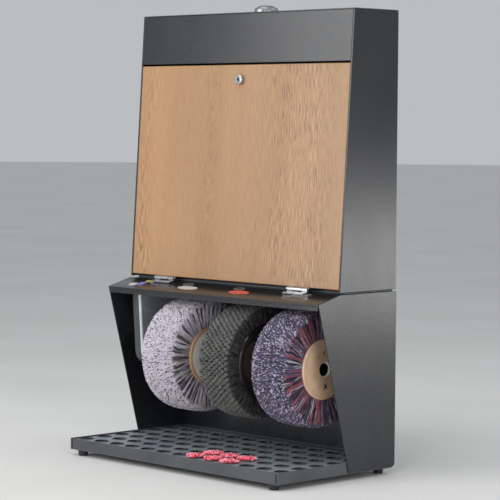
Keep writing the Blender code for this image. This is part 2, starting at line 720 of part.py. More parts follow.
def guard_outline(wall, gap):
    """The belt guard's outline, drawn in by a wall: round below, and under the apron above."""
    centre = spot(SHAFT_DEPTH, SHAFT_HEIGHT)
    radius = GUARD_RADIUS - wall
    under_roof = CASE_HEIGHT - SHEET - gap
    front_depth_here = GUARD_FRONT_DEPTH - wall
    under_slope = CASE_HEIGHT - SHEET / math.cos(APRON_SLOPE) - gap
    under_slope -= (front_depth_here - APRON_FOLD_DEPTH) * math.tan(APRON_SLOPE)
    front = Vector(spot(front_depth_here, under_slope))
    rear = Vector(spot(GUARD_BACK_DEPTH + wall, under_roof))

    def tangent(point, side):
        run = point - Vector(centre)
        return math.atan2(run.y, run.x) + side * math.acos(radius / run.length)

    start = tangent(front, 1)
    end = tangent(rear, -1) + math.tau
    around = arc(centre, radius, start, end, ROUND_SIDES // 2)
    fold = spot(APRON_FOLD_DEPTH - SHEET * math.tan(APRON_SLOPE / 2), under_roof)
    return [tuple(front)] + around + [tuple(rear), fold]


def make_belt_guard(plastic):
    shape = prism(guard_outline(0, FIT), GUARD_LEFT_X, GUARD_RIGHT_X)
    bmesh.ops.recalc_face_normals(shape, faces=shape.faces)
    edges = []
    for edge in shape.edges:
        first, second = (corner.co for corner in edge.verts)
        on_face = min(first.x, second.x) > GUARD_RIGHT_X - FIT
        at_top = min(first.z, second.z) > up(CASE_HEIGHT - APRON_FALL)
        if on_face and not at_top:
            edges.append(edge)
    bmesh.ops.bevel(shape, geom=edges, offset=GUARD_EDGE, segments=3, affect="EDGES", profile=0.5)
    guard = add("belt_guard", shape, plastic)
    hollow = guard_outline(GUARD_WALL, -GUARD_WALL)
    cut(guard, prism(hollow, GUARD_LEFT_X - GUARD_WALL, GUARD_RIGHT_X - GUARD_WALL))
    hole = rod(-GUARD_THICK, GUARD_THICK, SHAFT_RADIUS + GUARD_SHAFT_CLEAR, ROUND_SIDES)
    cut(guard, hole, place=(GUARD_RIGHT_X, *spot(SHAFT_DEPTH, SHAFT_HEIGHT)))


def make_motor(paint, steel, bright, rotor):
    y, z = spot(MOTOR_DEPTH, MOTOR_HEIGHT)
    bell_radius = MOTOR_RADIUS - MOTOR_BELL / 2
    end = MOTOR_LENGTH
    profile = [
        (MOTOR_SHAFT_SEAT + FIT, 0),
        (MOTOR_SHAFT_SEAT + FIT, MOTOR_SHAFT_RADIUS + RUN),
        (-MOTOR_BOSS_LENGTH, MOTOR_SHAFT_RADIUS + RUN),
        (-MOTOR_BOSS_LENGTH, MOTOR_BOSS_RADIUS),
        (0, MOTOR_BOSS_RADIUS),
        (0, bell_radius),
        (MOTOR_BELL, MOTOR_RADIUS),
        (end - MOTOR_BELL, MOTOR_RADIUS),
        (end, bell_radius),
        (end, 0),
    ]
    add("motor_body", turned(profile, FINE_SIDES), paint, place=(MOTOR_LEFT_X, y, z))
    left = MOTOR_LEFT_X - FIT - BRACKET_THICK
    base = FLOOR_TOP + FIT
    low = (left, y - MOTOR_RADIUS, up(base))
    high = (left + BRACKET_LENGTH, y + MOTOR_RADIUS, up(base + BRACKET_THICK))
    bracket = add("motor_bracket", block(low, high), steel, smooth=False)
    high = (left + BRACKET_THICK, y + MOTOR_RADIUS, z + MOTOR_RADIUS / 2)
    join(bracket, block(low, high))
    hole = rod(-BRACKET_THICK, 2 * BRACKET_THICK, MOTOR_BOSS_RADIUS + FIT, ROUND_SIDES)
    cut(bracket, hole, place=(left, y, z))
    shape = rod(SHAFT_LEFT_X, MOTOR_LEFT_X + MOTOR_SHAFT_SEAT, MOTOR_SHAFT_RADIUS, ROUND_SIDES)
    add("motor_shaft", shape, bright, rotor)


def make_controls(plastic, rubber):
    width, depth, height = CONTROL_SIZE
    y = back(CONTROL_DEPTH)
    base = up(FLOOR_TOP + FIT)
    low = (CONTROL_X - width / 2, y - depth / 2, base)
    high = (CONTROL_X + width / 2, y + depth / 2, base + height)
    round_edges(add("control_box", block(low, high), plastic), CONTROL_EDGE)
    flange = ENTRY_RADIUS + ENTRY_FLANGE
    outside = SHEET / 2 + FIT
    profile = [
        (-outside - ENTRY_FLANGE_THICK, ENTRY_BORE),
        (-outside - ENTRY_FLANGE_THICK, flange),
        (-outside, flange),
        (-outside, ENTRY_RADIUS),
        (outside, ENTRY_RADIUS),
        (outside, flange),
        (outside + ENTRY_FLANGE_THICK, flange),
        (outside + ENTRY_FLANGE_THICK, ENTRY_BORE),
    ]
    place = (ENTRY_X, back(BACK_INSET + SHEET / 2), up(ENTRY_HEIGHT))
    add("cable_grommet", turned(profile, SMALL_SIDES, "Y", ring=True), rubber, place=place)


def make_button(chrome, plastic, button):
    top = (0, back(BUTTON_DEPTH), up(CABINET_TOP))
    well = BUTTON_CAP_RADIUS + RUN
    well_floor = BUTTON_BEZEL_HEIGHT - BUTTON_TRAVEL - RUN - SHEET
    bore = BUTTON_STEM_RADIUS + RUN
    soft = SHEET
    profile = [
        (-BUTTON_BARREL_LENGTH, bore),
        (-BUTTON_BARREL_LENGTH, BUTTON_BARREL_RADIUS),
        (FIT, BUTTON_BARREL_RADIUS),
        (FIT, BUTTON_RADIUS),
        (BUTTON_BEZEL_HEIGHT - 2 * soft, BUTTON_RADIUS),
        (BUTTON_BEZEL_HEIGHT, BUTTON_RADIUS - soft),
        (BUTTON_BEZEL_HEIGHT, well),
        (well_floor, well),
        (well_floor, bore),
    ]
    add("button_bezel", turned(profile, FINE_SIDES, "Z", ring=True), chrome, place=top)
    skirt = well_floor + BUTTON_TRAVEL + RUN
    stem_end = -BUTTON_BARREL_LENGTH + BUTTON_TRAVEL + RUN
    crown = BUTTON_CAP_HEIGHT - skirt
    dome = []
    for step in range(5):
        angle = math.pi / 2 * step / 5
        dome.append((skirt + crown * (0.4 + 0.6 * math.sin(angle)), BUTTON_CAP_RADIUS * math.cos(angle)))
    profile = [(stem_end, 0), (stem_end, BUTTON_STEM_RADIUS), (skirt, BUTTON_STEM_RADIUS)]
    profile += [(skirt, BUTTON_CAP_RADIUS)] + dome + [(BUTTON_CAP_HEIGHT, 0)]
    add("button_cap", turned(profile, FINE_SIDES, "Z"), chrome, button)
    half = SWITCH_SIZE / 2
    under = -BUTTON_BARREL_LENGTH - FIT
    shape = block((-half, -half, under - SWITCH_SIZE), (half, half, under))
    add("switch_block", shape, plastic, place=top, smooth=False)


def make_door(oak, door):
    low = (-CABINET_INNER, HINGE_PROUD, HINGE_DROP)
    high = (CABINET_INNER, HINGE_PROUD + DOOR_THICK, HINGE_DROP + DOOR_HEIGHT)
    panel = add("door_panel", block(low, high), oak, door, smooth=False)
    round_edges(panel, DOOR_EDGE, 1)
    hole = rod(-DOOR_THICK, 2 * DOOR_THICK, LOCK_BODY_RADIUS + FIT, ROUND_SIDES, "Y")
    cut(panel, hole, door, (0, HINGE_PROUD, LOCK_ALONG))


def make_lock(chrome, door, lock):
    bore = LOCK_PLUG_RADIUS + RUN
    rim = 1 * MM
    profile = [
        (-LOCK_HEAD_HEIGHT, bore),
        (-LOCK_HEAD_HEIGHT, LOCK_HEAD_RADIUS - rim),
        (-LOCK_HEAD_HEIGHT + rim, LOCK_HEAD_RADIUS),
        (-FIT, LOCK_HEAD_RADIUS),
        (-FIT, LOCK_BODY_RADIUS),
        (LOCK_END, LOCK_BODY_RADIUS),
        (LOCK_END, bore),
    ]
    shape = turned(profile, ROUND_SIDES, "Y", ring=True)
    add("lock_housing", shape, chrome, door, (0, HINGE_PROUD, LOCK_ALONG))
    stud_end = LOCK_END + CAM_THICK + 2 * FIT + rim
    profile = [
        (-LOCK_HEAD_HEIGHT + rim / 2, 0),
        (-LOCK_HEAD_HEIGHT + rim / 2, LOCK_PLUG_RADIUS),
        (LOCK_END, LOCK_PLUG_RADIUS),
        (LOCK_END, LOCK_STUD_RADIUS),
        (stud_end, LOCK_STUD_RADIUS),
        (stud_end, 0),
    ]
    plug = add("lock_plug", turned(profile, ROUND_SIDES, "Y"), chrome, lock)
    half = LOCK_PLUG_RADIUS * 0.7
    low = (-KEY_SLOT / 2, -LOCK_HEAD_HEIGHT - rim, -half)
    high = (KEY_SLOT / 2, 0, half)
    cut(plug, block(low, high), lock)
    tip = CAM_REACH - CAM_HALF_WIDTH
    outline = arc((0, 0), CAM_HALF_WIDTH, math.pi / 2, 3 * math.pi / 2, 8)
    outline += arc((tip, 0), CAM_HALF_WIDTH, -math.pi / 2, math.pi / 2, 8)
    shape = prism(outline, LOCK_END + FIT, LOCK_END + FIT + CAM_THICK, "Z")
    for point in shape.verts:
        point.co = (point.co.x, point.co.z, point.co.y)
    cam = add("lock_cam", shape, chrome, lock)
    reach = LOCK_END + 2 * CAM_THICK
    cut(cam, rod(LOCK_END - CAM_THICK, reach, LOCK_STUD_RADIUS + FIT, SMALL_SIDES, "Y"), lock)


def leaf_outline(inner, outer, tongue_out):
    """A hinge leaf seen flat: a tongue, or else a notch, where the middle knuckle is."""
    near, far = (inner, outer) if tongue_out else (outer, inner)
    half, tongue = HINGE_WIDTH / 2, HINGE_TONGUE / 2
    end = HINGE_LEAF_LENGTH
    return [(-half, far), (-tongue, far), (-tongue, near), (tongue, near), (tongue, far), (half, far)] + [
        (half, end),
        (-half, end),
    ]


def make_hinges(steel, door, axis_place):
    clear = HINGE_RADIUS + 2 * RUN
    bore = HINGE_PIN_RADIUS + RUN
    slope_drop = math.cos(APRON_SLOPE) * (axis_place.z - up(CASE_HEIGHT))
    slope_drop += math.sin(APRON_SLOPE) * (back(APRON_FOLD_DEPTH) - axis_place.y)
    for side, sign in (("left", -1), ("right", 1)):
        x = sign * HINGE_X
        tongue = HINGE_TONGUE / 2
        outline = leaf_outline(0, clear, True)
        shape = prism(outline, HINGE_DROP - FIT - HINGE_LEAF, HINGE_DROP - FIT, "Z")
        leaf = add(f"hinge_{side}_door_leaf", shape, steel, door, (x, 0, 0), smooth=False)
        join(leaf, rod(-tongue, tongue, HINGE_RADIUS, SMALL_SIDES), door, (x, 0, 0))
        cut(leaf, rod(-HINGE_WIDTH, HINGE_WIDTH, bore, SMALL_SIDES), door, (x, 0, 0))
        base = pivot(f"hinge_{side}_seat", (x, axis_place.y, axis_place.z), math.pi + APRON_SLOPE)
        outline = leaf_outline(0, clear + RUN, False)
        shape = prism(outline, HINGE_RADIUS - RUN, slope_drop - FIT, "Z")
        leaf = add(f"hinge_{side}_case_leaf", shape, steel, base, smooth=False)
        for way in (-1, 1):
            ends = sorted((way * (tongue + RUN), way * HINGE_WIDTH / 2))
            join(leaf, rod(*ends, HINGE_RADIUS, SMALL_SIDES), base)
        cut(leaf, rod(-HINGE_WIDTH, HINGE_WIDTH, bore, SMALL_SIDES), base)
        half = HINGE_WIDTH / 2
        add(f"hinge_{side}_pin", rod(-half, half, HINGE_PIN_RADIUS, SMALL_SIDES), steel, base)


def main():
    clear_scene()
    steel = material("powder_coated_steel", (0.03, 0.03, 0.032), 0.45)
    rubber = material("black_rubber", (0.02, 0.022, 0.026), 0.75)
    oak = material("oak_board", (0.56, 0.34, 0.17), 0.5)
    chrome = material("chrome", (0.75, 0.76, 0.78), 0.15, 1.0)
    bright = material("bright_steel", (0.55, 0.55, 0.56), 0.3, 1.0)
    grey = material("grey_plastic", (0.2, 0.21, 0.22), 0.4)
    brass = material("bearing_bronze", (0.5, 0.33, 0.15), 0.4, 1.0)
    tan = material("tan_disc", (0.52, 0.37, 0.25), 0.4)
    black = material("black_plastic", (0.015, 0.015, 0.015), 0.5)
    light_bristle = material("light_bristle", (0.58, 0.55, 0.6), 0.8)
    black_bristle = material("black_bristle", (0.045, 0.043, 0.04), 0.7)
    dark_bristle = material("violet_bristle", (0.14, 0.11, 0.2), 0.8)
    red_bristle = material("red_bristle", (0.7, 0.03, 0.06), 0.6)

    axle = pivot("brush_axis", (0, *spot(SHAFT_DEPTH, SHAFT_HEIGHT)))
    rotor = pivot("motor_axis", (0, *spot(MOTOR_DEPTH, MOTOR_HEIGHT)))
    button = pivot("button_axis", (0, back(BUTTON_DEPTH), up(CABINET_TOP)))
    foot = Vector((0, *front_spot(DOOR_BASE, 0)))
    along = Vector((0, math.sin(LEAN), math.cos(LEAN)))
    inward = Vector((0, math.cos(LEAN), -math.sin(LEAN)))
    hinge_place = foot - inward * HINGE_PROUD - along * HINGE_DROP
    door = pivot("door_axis", hinge_place, -LEAN)
    lock = pivot("lock_axis", (0, HINGE_PROUD, LOCK_ALONG))
    lock.parent = door

    make_lower_case(steel)
    make_apron(steel)
    make_cabinet(steel, rubber)
    make_tray(steel, rubber)
    make_mat(rubber)
    make_sole_brushes(red_bristle)
    make_shaft(bright, axle)
    polish = (POLISH_WIDTH, POLISH_DISC_RADIUS, POLISH_RADIUS, POLISH_TUFT_ROWS)
    clean = (CLEAN_WIDTH, CLEAN_DISC_RADIUS, CLEAN_RADIUS, CLEAN_TUFT_ROWS)
    make_brush("light_brush", LIGHT_BRUSH_X, *polish, light_bristle, tan, axle)
    make_brush("cleaning_brush", CLEAN_BRUSH_X, *clean, black_bristle, black, axle)
    make_brush("dark_brush", DARK_BRUSH_X, *polish, dark_bristle, tan, axle)
    make_bearings(steel, brass)
    make_belt_drive(black, grey, axle, rotor)
    make_belt_guard(grey)
    make_motor(grey, steel, bright, rotor)
    make_controls(black, rubber)
    make_button(chrome, black, button)
    make_door(oak, door)
    make_lock(chrome, door, lock)
    make_hinges(bright, door, hinge_place)


main()
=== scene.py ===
"""Looks of a floor-standing shoe polishing machine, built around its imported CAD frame."""

import json
import math
import random

import bmesh
import bpy
from mathutils import Matrix, Vector

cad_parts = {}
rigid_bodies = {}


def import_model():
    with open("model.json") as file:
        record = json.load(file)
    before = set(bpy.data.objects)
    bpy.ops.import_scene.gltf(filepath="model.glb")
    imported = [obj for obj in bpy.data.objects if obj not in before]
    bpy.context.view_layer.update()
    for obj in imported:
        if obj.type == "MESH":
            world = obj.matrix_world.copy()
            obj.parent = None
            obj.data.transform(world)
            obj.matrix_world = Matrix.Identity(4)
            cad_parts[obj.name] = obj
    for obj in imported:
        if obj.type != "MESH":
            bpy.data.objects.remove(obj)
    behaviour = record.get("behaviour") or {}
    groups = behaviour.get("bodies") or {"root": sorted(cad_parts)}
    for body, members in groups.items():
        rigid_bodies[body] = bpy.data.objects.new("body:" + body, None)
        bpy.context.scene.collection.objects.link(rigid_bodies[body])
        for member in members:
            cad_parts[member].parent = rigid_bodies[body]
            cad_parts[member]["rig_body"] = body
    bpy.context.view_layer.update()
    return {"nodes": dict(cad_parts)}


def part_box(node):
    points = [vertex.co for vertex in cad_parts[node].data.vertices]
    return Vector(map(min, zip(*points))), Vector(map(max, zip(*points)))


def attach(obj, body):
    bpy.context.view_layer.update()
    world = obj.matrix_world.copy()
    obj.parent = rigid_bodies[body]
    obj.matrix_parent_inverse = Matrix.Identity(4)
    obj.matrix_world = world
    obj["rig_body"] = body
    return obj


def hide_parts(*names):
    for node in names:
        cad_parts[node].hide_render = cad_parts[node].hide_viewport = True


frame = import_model()

MM = 0.001

# Camera that matches the photograph, in metres, degrees and millimetres of lens
CAMERA_PLACE = (3.09384, -2.96078, 0.68672)
CAMERA_YAW = 45.716
CAMERA_PITCH = 3.452
CAMERA_ROLL = 0.397
CAMERA_LENS = 155.45
SENSOR_WIDTH = 36

# Brush axis, brushes and their end discs
AXIS_Y = 20 * MM
AXIS_Z = 209.3 * MM
POLISH_RADIUS = 115 * MM
POLISH_DISC_RADIUS = 59 * MM
CLEAN_RADIUS = 113 * MM
CLEAN_DISC_RADIUS = 78 * MM
DISC_BORE_RADIUS = 12.8 * MM
DISC_HOLE_RADIUS = 4 * MM
DISC_HOLE_CIRCLE = 33 * MM
DISC_ROUND = 3 * MM
DISC_SIDES = 72
BORE_CHAMFER = 2 * MM

# Strands: pile is their length, drop is how far the tread falls away at its edges
POLISH_PILE = 8 * MM
POLISH_CORE_DEPTH = 6 * MM
POLISH_DROP = 5 * MM
POLISH_PITCH = 2.4 * MM
POLISH_STRAND = 1.4 * MM
POLISH_CLUMPS = 104
POLISH_FACE_STRAND = 0.9 * MM
CLEAN_PILE = 12 * MM
CLEAN_CORE_DEPTH = 9 * MM
CLEAN_DROP = 2 * MM
CLEAN_PITCH = 8.6 * MM
CLEAN_STRAND = 1.1 * MM
CLEAN_CLUMPS = 72
CLEAN_FACE_STRAND = 1.2 * MM
CLEAN_FACE_TINTS = [(0.0, 0.2)]
TUFT_STRANDS = 18
CLUMP_STRANDS = 8
SOLE_STRANDS = 210
SOLE_TUFT_RADIUS = 22 * MM
CORE_SIDES = 96
CORE_END_INSET = 12 * MM
CORE_EDGE_INSET = 6 * MM

# Seeds of the random draws
LIGHT_SEED = 11
DARK_SEED = 21
CLEAN_SEED = 31
SOLE_SEED = 50

# Mat, and the tones of its surfaces from hole to bead: the near-black holes, walls and collars are painted
# shade, and the beads' lighter crests are a painted highlight
MAT_PITCH = 47 * MM
MAT_HOLE_RADIUS = 11.3 * MM
MAT_MOUTH_RADIUS = 14 * MM
MAT_RIM = 0.8 * MM
MAT_COLLAR_RADIUS = 15.1 * MM
MAT_COLLAR_HEIGHT = 1.6 * MM
MAT_COLLAR_FOOT = 0.2 * MM
MAT_BEAD = 0.4 * MM
MAT_COLUMNS = 13
MAT_ROWS = 6
MAT_FIRST_ROW_Y = -132 * MM
HOLE_LEVEL = 0.0
WALL_LEVEL = 0.1
COLLAR_LEVEL = 0.25
FACE_LEVEL = 0.5
BEAD_LEVELS = (0.25, 0.9, 1.0, 0.9, 0.1)

# Apron slope as (y, z) at its fold and its front edge, lock, motor and small details
APRON_FOLD = (1.5 * MM, 357 * MM)
APRON_EDGE = (-57.6 * MM, 340.9 * MM)
APRON_ROUND = 1.3 * MM
GUARD_ROUND = 2 * MM
MARKER_THICK = 0.2 * MM
MARKER_CLEARANCE = 0.02 * MM
LOCK_PLACE = (0, 28.01 * MM, 765.914 * MM)
LOCK_NORMAL = (0, -0.99804, 0.062586)
# Thickness of the dark plate over the key slot, which is painted shade
SLOT_SHADE_THICK = 0.25 * MM
MOTOR_RADIUS = 52 * MM
FIN_COUNT = 10
FIN_STEPS = 28
FIN_HEIGHT = 2.4 * MM
FIN_HALF_WIDTH = 1.1 * MM
FIN_ROOT = 1 * MM
FIN_START = 30 * MM
FIN_END = 24 * MM
SCREW_RADIUS = 3.2 * MM
SCREW_SIDES = 12
PANEL_SCREW_INSET = 10 * MM
PANEL_SCREW_END = 14 * MM
MOTOR_SCREW_CIRCLE = 36 * MM
LID_SCREW_INSET = 9 * MM
EDGE_ANGLE = math.radians(40)
FLOOR_RADIUS = 30


def colour(red, green, blue):
    """A linear colour from the usual 0 to 255 values."""

    def linear(value):
        share = value / 255
        return share / 12.92 if share < 0.04045 else ((share + 0.055) / 1.055) ** 2.4

    return (linear(red), linear(green), linear(blue), 1.0)


class Finish:
    """A procedural material under construction, with short ways to add its nodes."""

    def __init__(self, name, metallic=0.0, coat=0.0, sheen=0.0, specular=0.5):
        self.material = bpy.data.materials.new(name)
        self.material.use_nodes = True
        self.tree = self.material.node_tree
        self.shader = self.tree.nodes["Principled BSDF"]
        self.shader.inputs["Metallic"].default_value = metallic
        self.shader.inputs["Coat Weight"].default_value = coat
        self.shader.inputs["Sheen Weight"].default_value = sheen
        self.shader.inputs["Specular IOR Level"].default_value = specular
        self.place = self.tree.nodes.new("ShaderNodeTexCoord").outputs["Object"]

    def link(self, source, target):
        self.tree.links.new(source, target)

    def feed(self, value, socket):
        """Links a socket to another one's value, or sets it to a plain value."""
        if isinstance(value, bpy.types.NodeSocket):
            self.link(value, socket)
        else:
            socket.default_value = value

    def stretch(self, scale, offset=(0, 0, 0)):
        made = self.tree.nodes.new("ShaderNodeMapping")
        made.inputs["Scale"].default_value = scale
        made.inputs["Location"].default_value = offset
        self.link(self.place, made.inputs["Vector"])
        return made.outputs["Vector"]

    def noise(self, scale, where=None, detail=3.0, rough=0.55):
        made = self.tree.nodes.new("ShaderNodeTexNoise")
        made.inputs["Scale"].default_value = scale
        made.inputs["Detail"].default_value = detail
        made.inputs["Roughness"].default_value = rough
        self.link(where or self.place, made.inputs["Vector"])
        return made.outputs[0]

    def part_of(self, axis):
        made = self.tree.nodes.new("ShaderNodeSeparateXYZ")
        self.link(self.place, made.inputs[0])
        return made.outputs[axis]

    def folded(self, middle):
        """The place with its sideways part folded about the middle, for a figure alike on both sides."""
        aside = self.tree.nodes.new("ShaderNodeMath")
        aside.operation = "SUBTRACT"
        self.link(self.part_of("X"), aside.inputs[0])
        aside.inputs[1].default_value = middle
        away = self.tree.nodes.new("ShaderNodeMath")
        away.operation = "ABSOLUTE"
        self.link(aside.outputs[0], away.inputs[0])
        joined = self.tree.nodes.new("ShaderNodeCombineXYZ")
        self.link(away.outputs[0], joined.inputs["X"])
        self.link(self.part_of("Y"), joined.inputs["Y"])
        self.link(self.part_of("Z"), joined.inputs["Z"])
        return joined.outputs[0]

    def slanted(self, where, tilt, length):
        """Coordinates drawn out along an upright direction that leans sideways by a tilt."""
        made = self.tree.nodes.new("ShaderNodeMapping")
        made.vector_type = "TEXTURE"
        made.inputs["Rotation"].default_value = (0, tilt, 0)
        made.inputs["Scale"].default_value = (1, 1, length)
        self.link(where, made.inputs["Vector"])
        return made.outputs["Vector"]

    def rings(self, scale, where, bend):
        """Turning marks: slightly uneven rings about the X axis."""
        made = self.tree.nodes.new("ShaderNodeTexWave")
        made.wave_type = "RINGS"
        made.rings_direction = "X"
        made.inputs["Scale"].default_value = scale
        made.inputs["Distortion"].default_value = bend
        made.inputs["Detail"].default_value = 2
        made.inputs["Detail Scale"].default_value = 1.4
        self.link(where, made.inputs["Vector"])
        return made.outputs[1]

    def attribute(self, name):
        made = self.tree.nodes.new("ShaderNodeAttribute")
        made.attribute_name = name
        return made.outputs["Fac"]

    def ramp(self, value, stops, steps=False):
        made = self.tree.nodes.new("ShaderNodeValToRGB")
        made.color_ramp.interpolation = "CONSTANT" if steps else "LINEAR"
        elements = made.color_ramp.elements
        while len(elements) < len(stops):
            elements.new(0.5)
        for element, (place, tone) in zip(elements, stops):
            element.position = place
            element.color = tone
        self.link(value, made.inputs["Fac"])
        return made.outputs["Color"]

    def remap(self, value, low, high, source_low=0.0, source_high=1.0):
        made = self.tree.nodes.new("ShaderNodeMapRange")
        made.inputs["From Min"].default_value = source_low
        made.inputs["From Max"].default_value = source_high
        made.inputs["To Min"].default_value = low
        made.inputs["To Max"].default_value = high
        self.link(value, made.inputs["Value"])
        return made.outputs["Result"]

    def mix(self, share, first, second, blend="MIX"):
        made = self.tree.nodes.new("ShaderNodeMix")
        made.data_type = "RGBA"
        made.blend_type = blend
        for value, socket in ((share, 0), (first, 6), (second, 7)):
            self.feed(value, made.inputs[socket])
        return made.outputs[2]

    def multiply(self, first, second):
        made = self.tree.nodes.new("ShaderNodeMath")
        made.operation = "MULTIPLY"
        for value, socket in ((first, 0), (second, 1)):
            self.feed(value, made.inputs[socket])
        return made.outputs[0]

    def bump(self, height, strength, distance):
        made = self.tree.nodes.new("ShaderNodeBump")
        made.inputs["Strength"].default_value = strength
        made.inputs["Distance"].default_value = distance
        self.link(height, made.inputs["Height"])
        self.link(made.outputs["Normal"], self.shader.inputs["Normal"])

    def done(self, tone, roughness):
        self.link(tone, self.shader.inputs["Base Color"])
        self.link(roughness, self.shader.inputs["Roughness"])
        return self.material


def powder_coat(name, low, high):
    """Satin anthracite powder coat with a fine orange-peel surface and faint handling marks."""
    made = Finish(name)
    clouds = made.noise(6, detail=4)
    grain = made.noise(420, detail=3)
    tone = made.ramp(clouds, [(0.3, colour(*low)), (0.7, colour(*high))])
    tone = made.mix(0.16, tone, made.ramp(grain, [(0.35, colour(12, 12, 13)), (0.7, colour(76, 78, 80))]))
    smears = made.noise(14, made.stretch((1, 1, 0.3)), detail=5)
    made.bump(grain, 0.26, 0.15 * MM)
    return made.done(tone, made.remap(smears, 0.17, 0.26))


def oak(low, high):
    """Flat-sawn oak with upright grain: soft bands, short dark pores in rows and one arched figure."""
    made = Finish("oak")
    across = made.remap(made.part_of("X"), 0, 1, low, high)
    bands = made.noise(5, made.stretch((2.2, 2.2, 0.25)), detail=3)
    warm = made.ramp(bands, [(0.3, colour(150, 109, 68)), (0.72, colour(166, 125, 84))])
    pale = made.ramp(bands, [(0.3, colour(150, 117, 86)), (0.72, colour(164, 132, 102))])
    tone = made.mix(across, warm, pale)
    fibre = made.noise(520, made.stretch((1, 1, 0.02)), detail=4, rough=0.7)
    tone = made.mix(0.25, tone, made.ramp(fibre, [(0.3, colour(128, 92, 58)), (0.7, colour(178, 144, 108))]))
    nowhere, few, some, many = (colour(level, level, level) for level in (60, 100, 150, 255))
    rows = [(0.0, some), (0.05, many), (0.12, few), (0.3, few), (0.36, some), (0.42, few)]
    rows += [(0.64, some), (0.72, many), (0.86, many), (0.96, some)]
    clouds = made.noise(9, made.stretch((1, 1, 0.3)), detail=3)
    crowd = made.multiply(made.ramp(across, rows), made.remap(clouds, 0.4, 1, 0.35, 0.6))
    pores = made.noise(560, made.stretch((1, 1, 0.042)), detail=2, rough=0.4)
    gleams = made.multiply(made.remap(pores, 0.5, 0, 0.32, 0.44), crowd)
    tone = made.mix(gleams, tone, colour(206, 172, 136))
    middle = low + 0.37 * (high - low)
    leaning = made.slanted(made.folded(middle), 0.3, 14)
    arches = made.noise(420, leaning, detail=2, rough=0.4)
    here = [(0.31, nowhere), (0.355, many), (0.385, many), (0.43, nowhere)]
    figure = made.multiply(made.remap(arches, 0, 1, 0.54, 0.64), made.ramp(across, here))
    holes = made.multiply(made.remap(pores, 0, 1, 0.55, 0.64), crowd)
    tone = made.mix(made.multiply(figure, 0.4), tone, colour(112, 76, 46))
    tone = made.mix(made.multiply(holes, 0.8), tone, colour(84, 54, 30))
    made.bump(made.remap(holes, 1, 0), 0.25, 0.3 * MM)
    return made.done(tone, made.remap(fibre, 0.42, 0.6))


def rubber():
    """Dark blue-grey rubber with an uneven dusty tone."""
    made = Finish("rubber")
    dust = made.noise(22, detail=6, rough=0.7)
    grain = made.noise(900, detail=2)
    tone = made.ramp(dust, [(0.35, colour(72, 77, 84)), (0.75, colour(98, 103, 110))])
    tone = made.mix(0.15, tone, made.ramp(grain, [(0.4, colour(40, 43, 48)), (0.7, colour(130, 135, 142))]))
    made.bump(grain, 0.2, 0.3 * MM)
    return made.done(tone, made.remap(dust, 0.38, 0.6))


def mat_rubber():
    """Mat rubber: a light tone on the face; painted shade makes the holes, walls and collars near-black, and
    a painted highlight lightens the beads' crests.
    """
    made = Finish("mat_rubber", specular=0.25)
    dust = made.noise(22, detail=6, rough=0.7)
    grain = made.noise(900, detail=2)
    # Painted shade: near-black tones in the holes, on the walls and on the collars; painted highlight: the
    # beads' crests lighter than their flanks
    levels = [(0.0, colour(2, 2, 3)), (0.1, colour(4, 4, 5)), (0.25, colour(12, 13, 14))]
    levels += [(0.5, colour(142, 150, 158)), (0.9, colour(90, 96, 102)), (1.0, colour(120, 127, 133))]
    tone = made.ramp(made.attribute("level"), levels)
    wear = made.ramp(dust, [(0.35, colour(120, 124, 130)), (0.75, colour(236, 240, 244))])
    tone = made.mix(0.4, tone, wear, "MULTIPLY")
    made.bump(grain, 0.2, 0.3 * MM)
    return made.done(tone, made.remap(dust, 0.32, 0.5))


def polished_metal(name, low, high, smooth, rough):
    """Bright metal with faint wipe marks."""
    made = Finish(name, metallic=1.0)
    marks = made.noise(60, made.stretch((1, 0.3, 1)), detail=5)
    fine = made.noise(700, made.stretch((0.1, 1, 1)), detail=3)
    tone = made.ramp(marks, [(0.3, colour(*low)), (0.7, colour(*high))])
    made.bump(fine, 0.015, 0.1 * MM)
    return made.done(tone, made.remap(marks, smooth, rough))


def disc_board(name, middle, face, edge):
    """A turned and varnished disc: a light bore as a painted highlight, then tones from the middle to the
    edge.
    """
    made = Finish(name, coat=0.8)
    centred = made.stretch((1, 1, 1), offset=(0, -AXIS_Y, -AXIS_Z))
    reach = made.tree.nodes.new("ShaderNodeVectorMath")
    reach.operation = "LENGTH"
    made.link(made.stretch((0, 1, 1), offset=(0, -AXIS_Y, -AXIS_Z)), reach.inputs[0])
    share = made.remap(reach.outputs["Value"], 0, 1, 0, POLISH_DISC_RADIUS)
    # The light tone within the bore's chamfer is a painted highlight in place of the lit far wall of the
    # bore
    tones = [(0.25, colour(248, 240, 228)), (0.27, colour(*middle)), (0.55, colour(*middle))]
    tones += [(0.7, colour(*face)), (0.87, colour(*face)), (0.91, colour(*edge))]
    tone = made.ramp(share, tones)
    turning = made.rings(90, centred, 0.6)
    clouds = made.noise(40, detail=4)
    shade = made.ramp(clouds, [(0.3, colour(214, 210, 206)), (0.7, colour(255, 255, 255))])
    tone = made.mix(0.5, tone, shade, "MULTIPLY")
    tone = made.mix(0.08, tone, made.ramp(turning, [(0.3, colour(*middle)), (0.8, colour(255, 240, 225))]))
    made.bump(turning, 0.05, 0.1 * MM)
    return made.done(tone, made.remap(clouds, 0.2, 0.35))


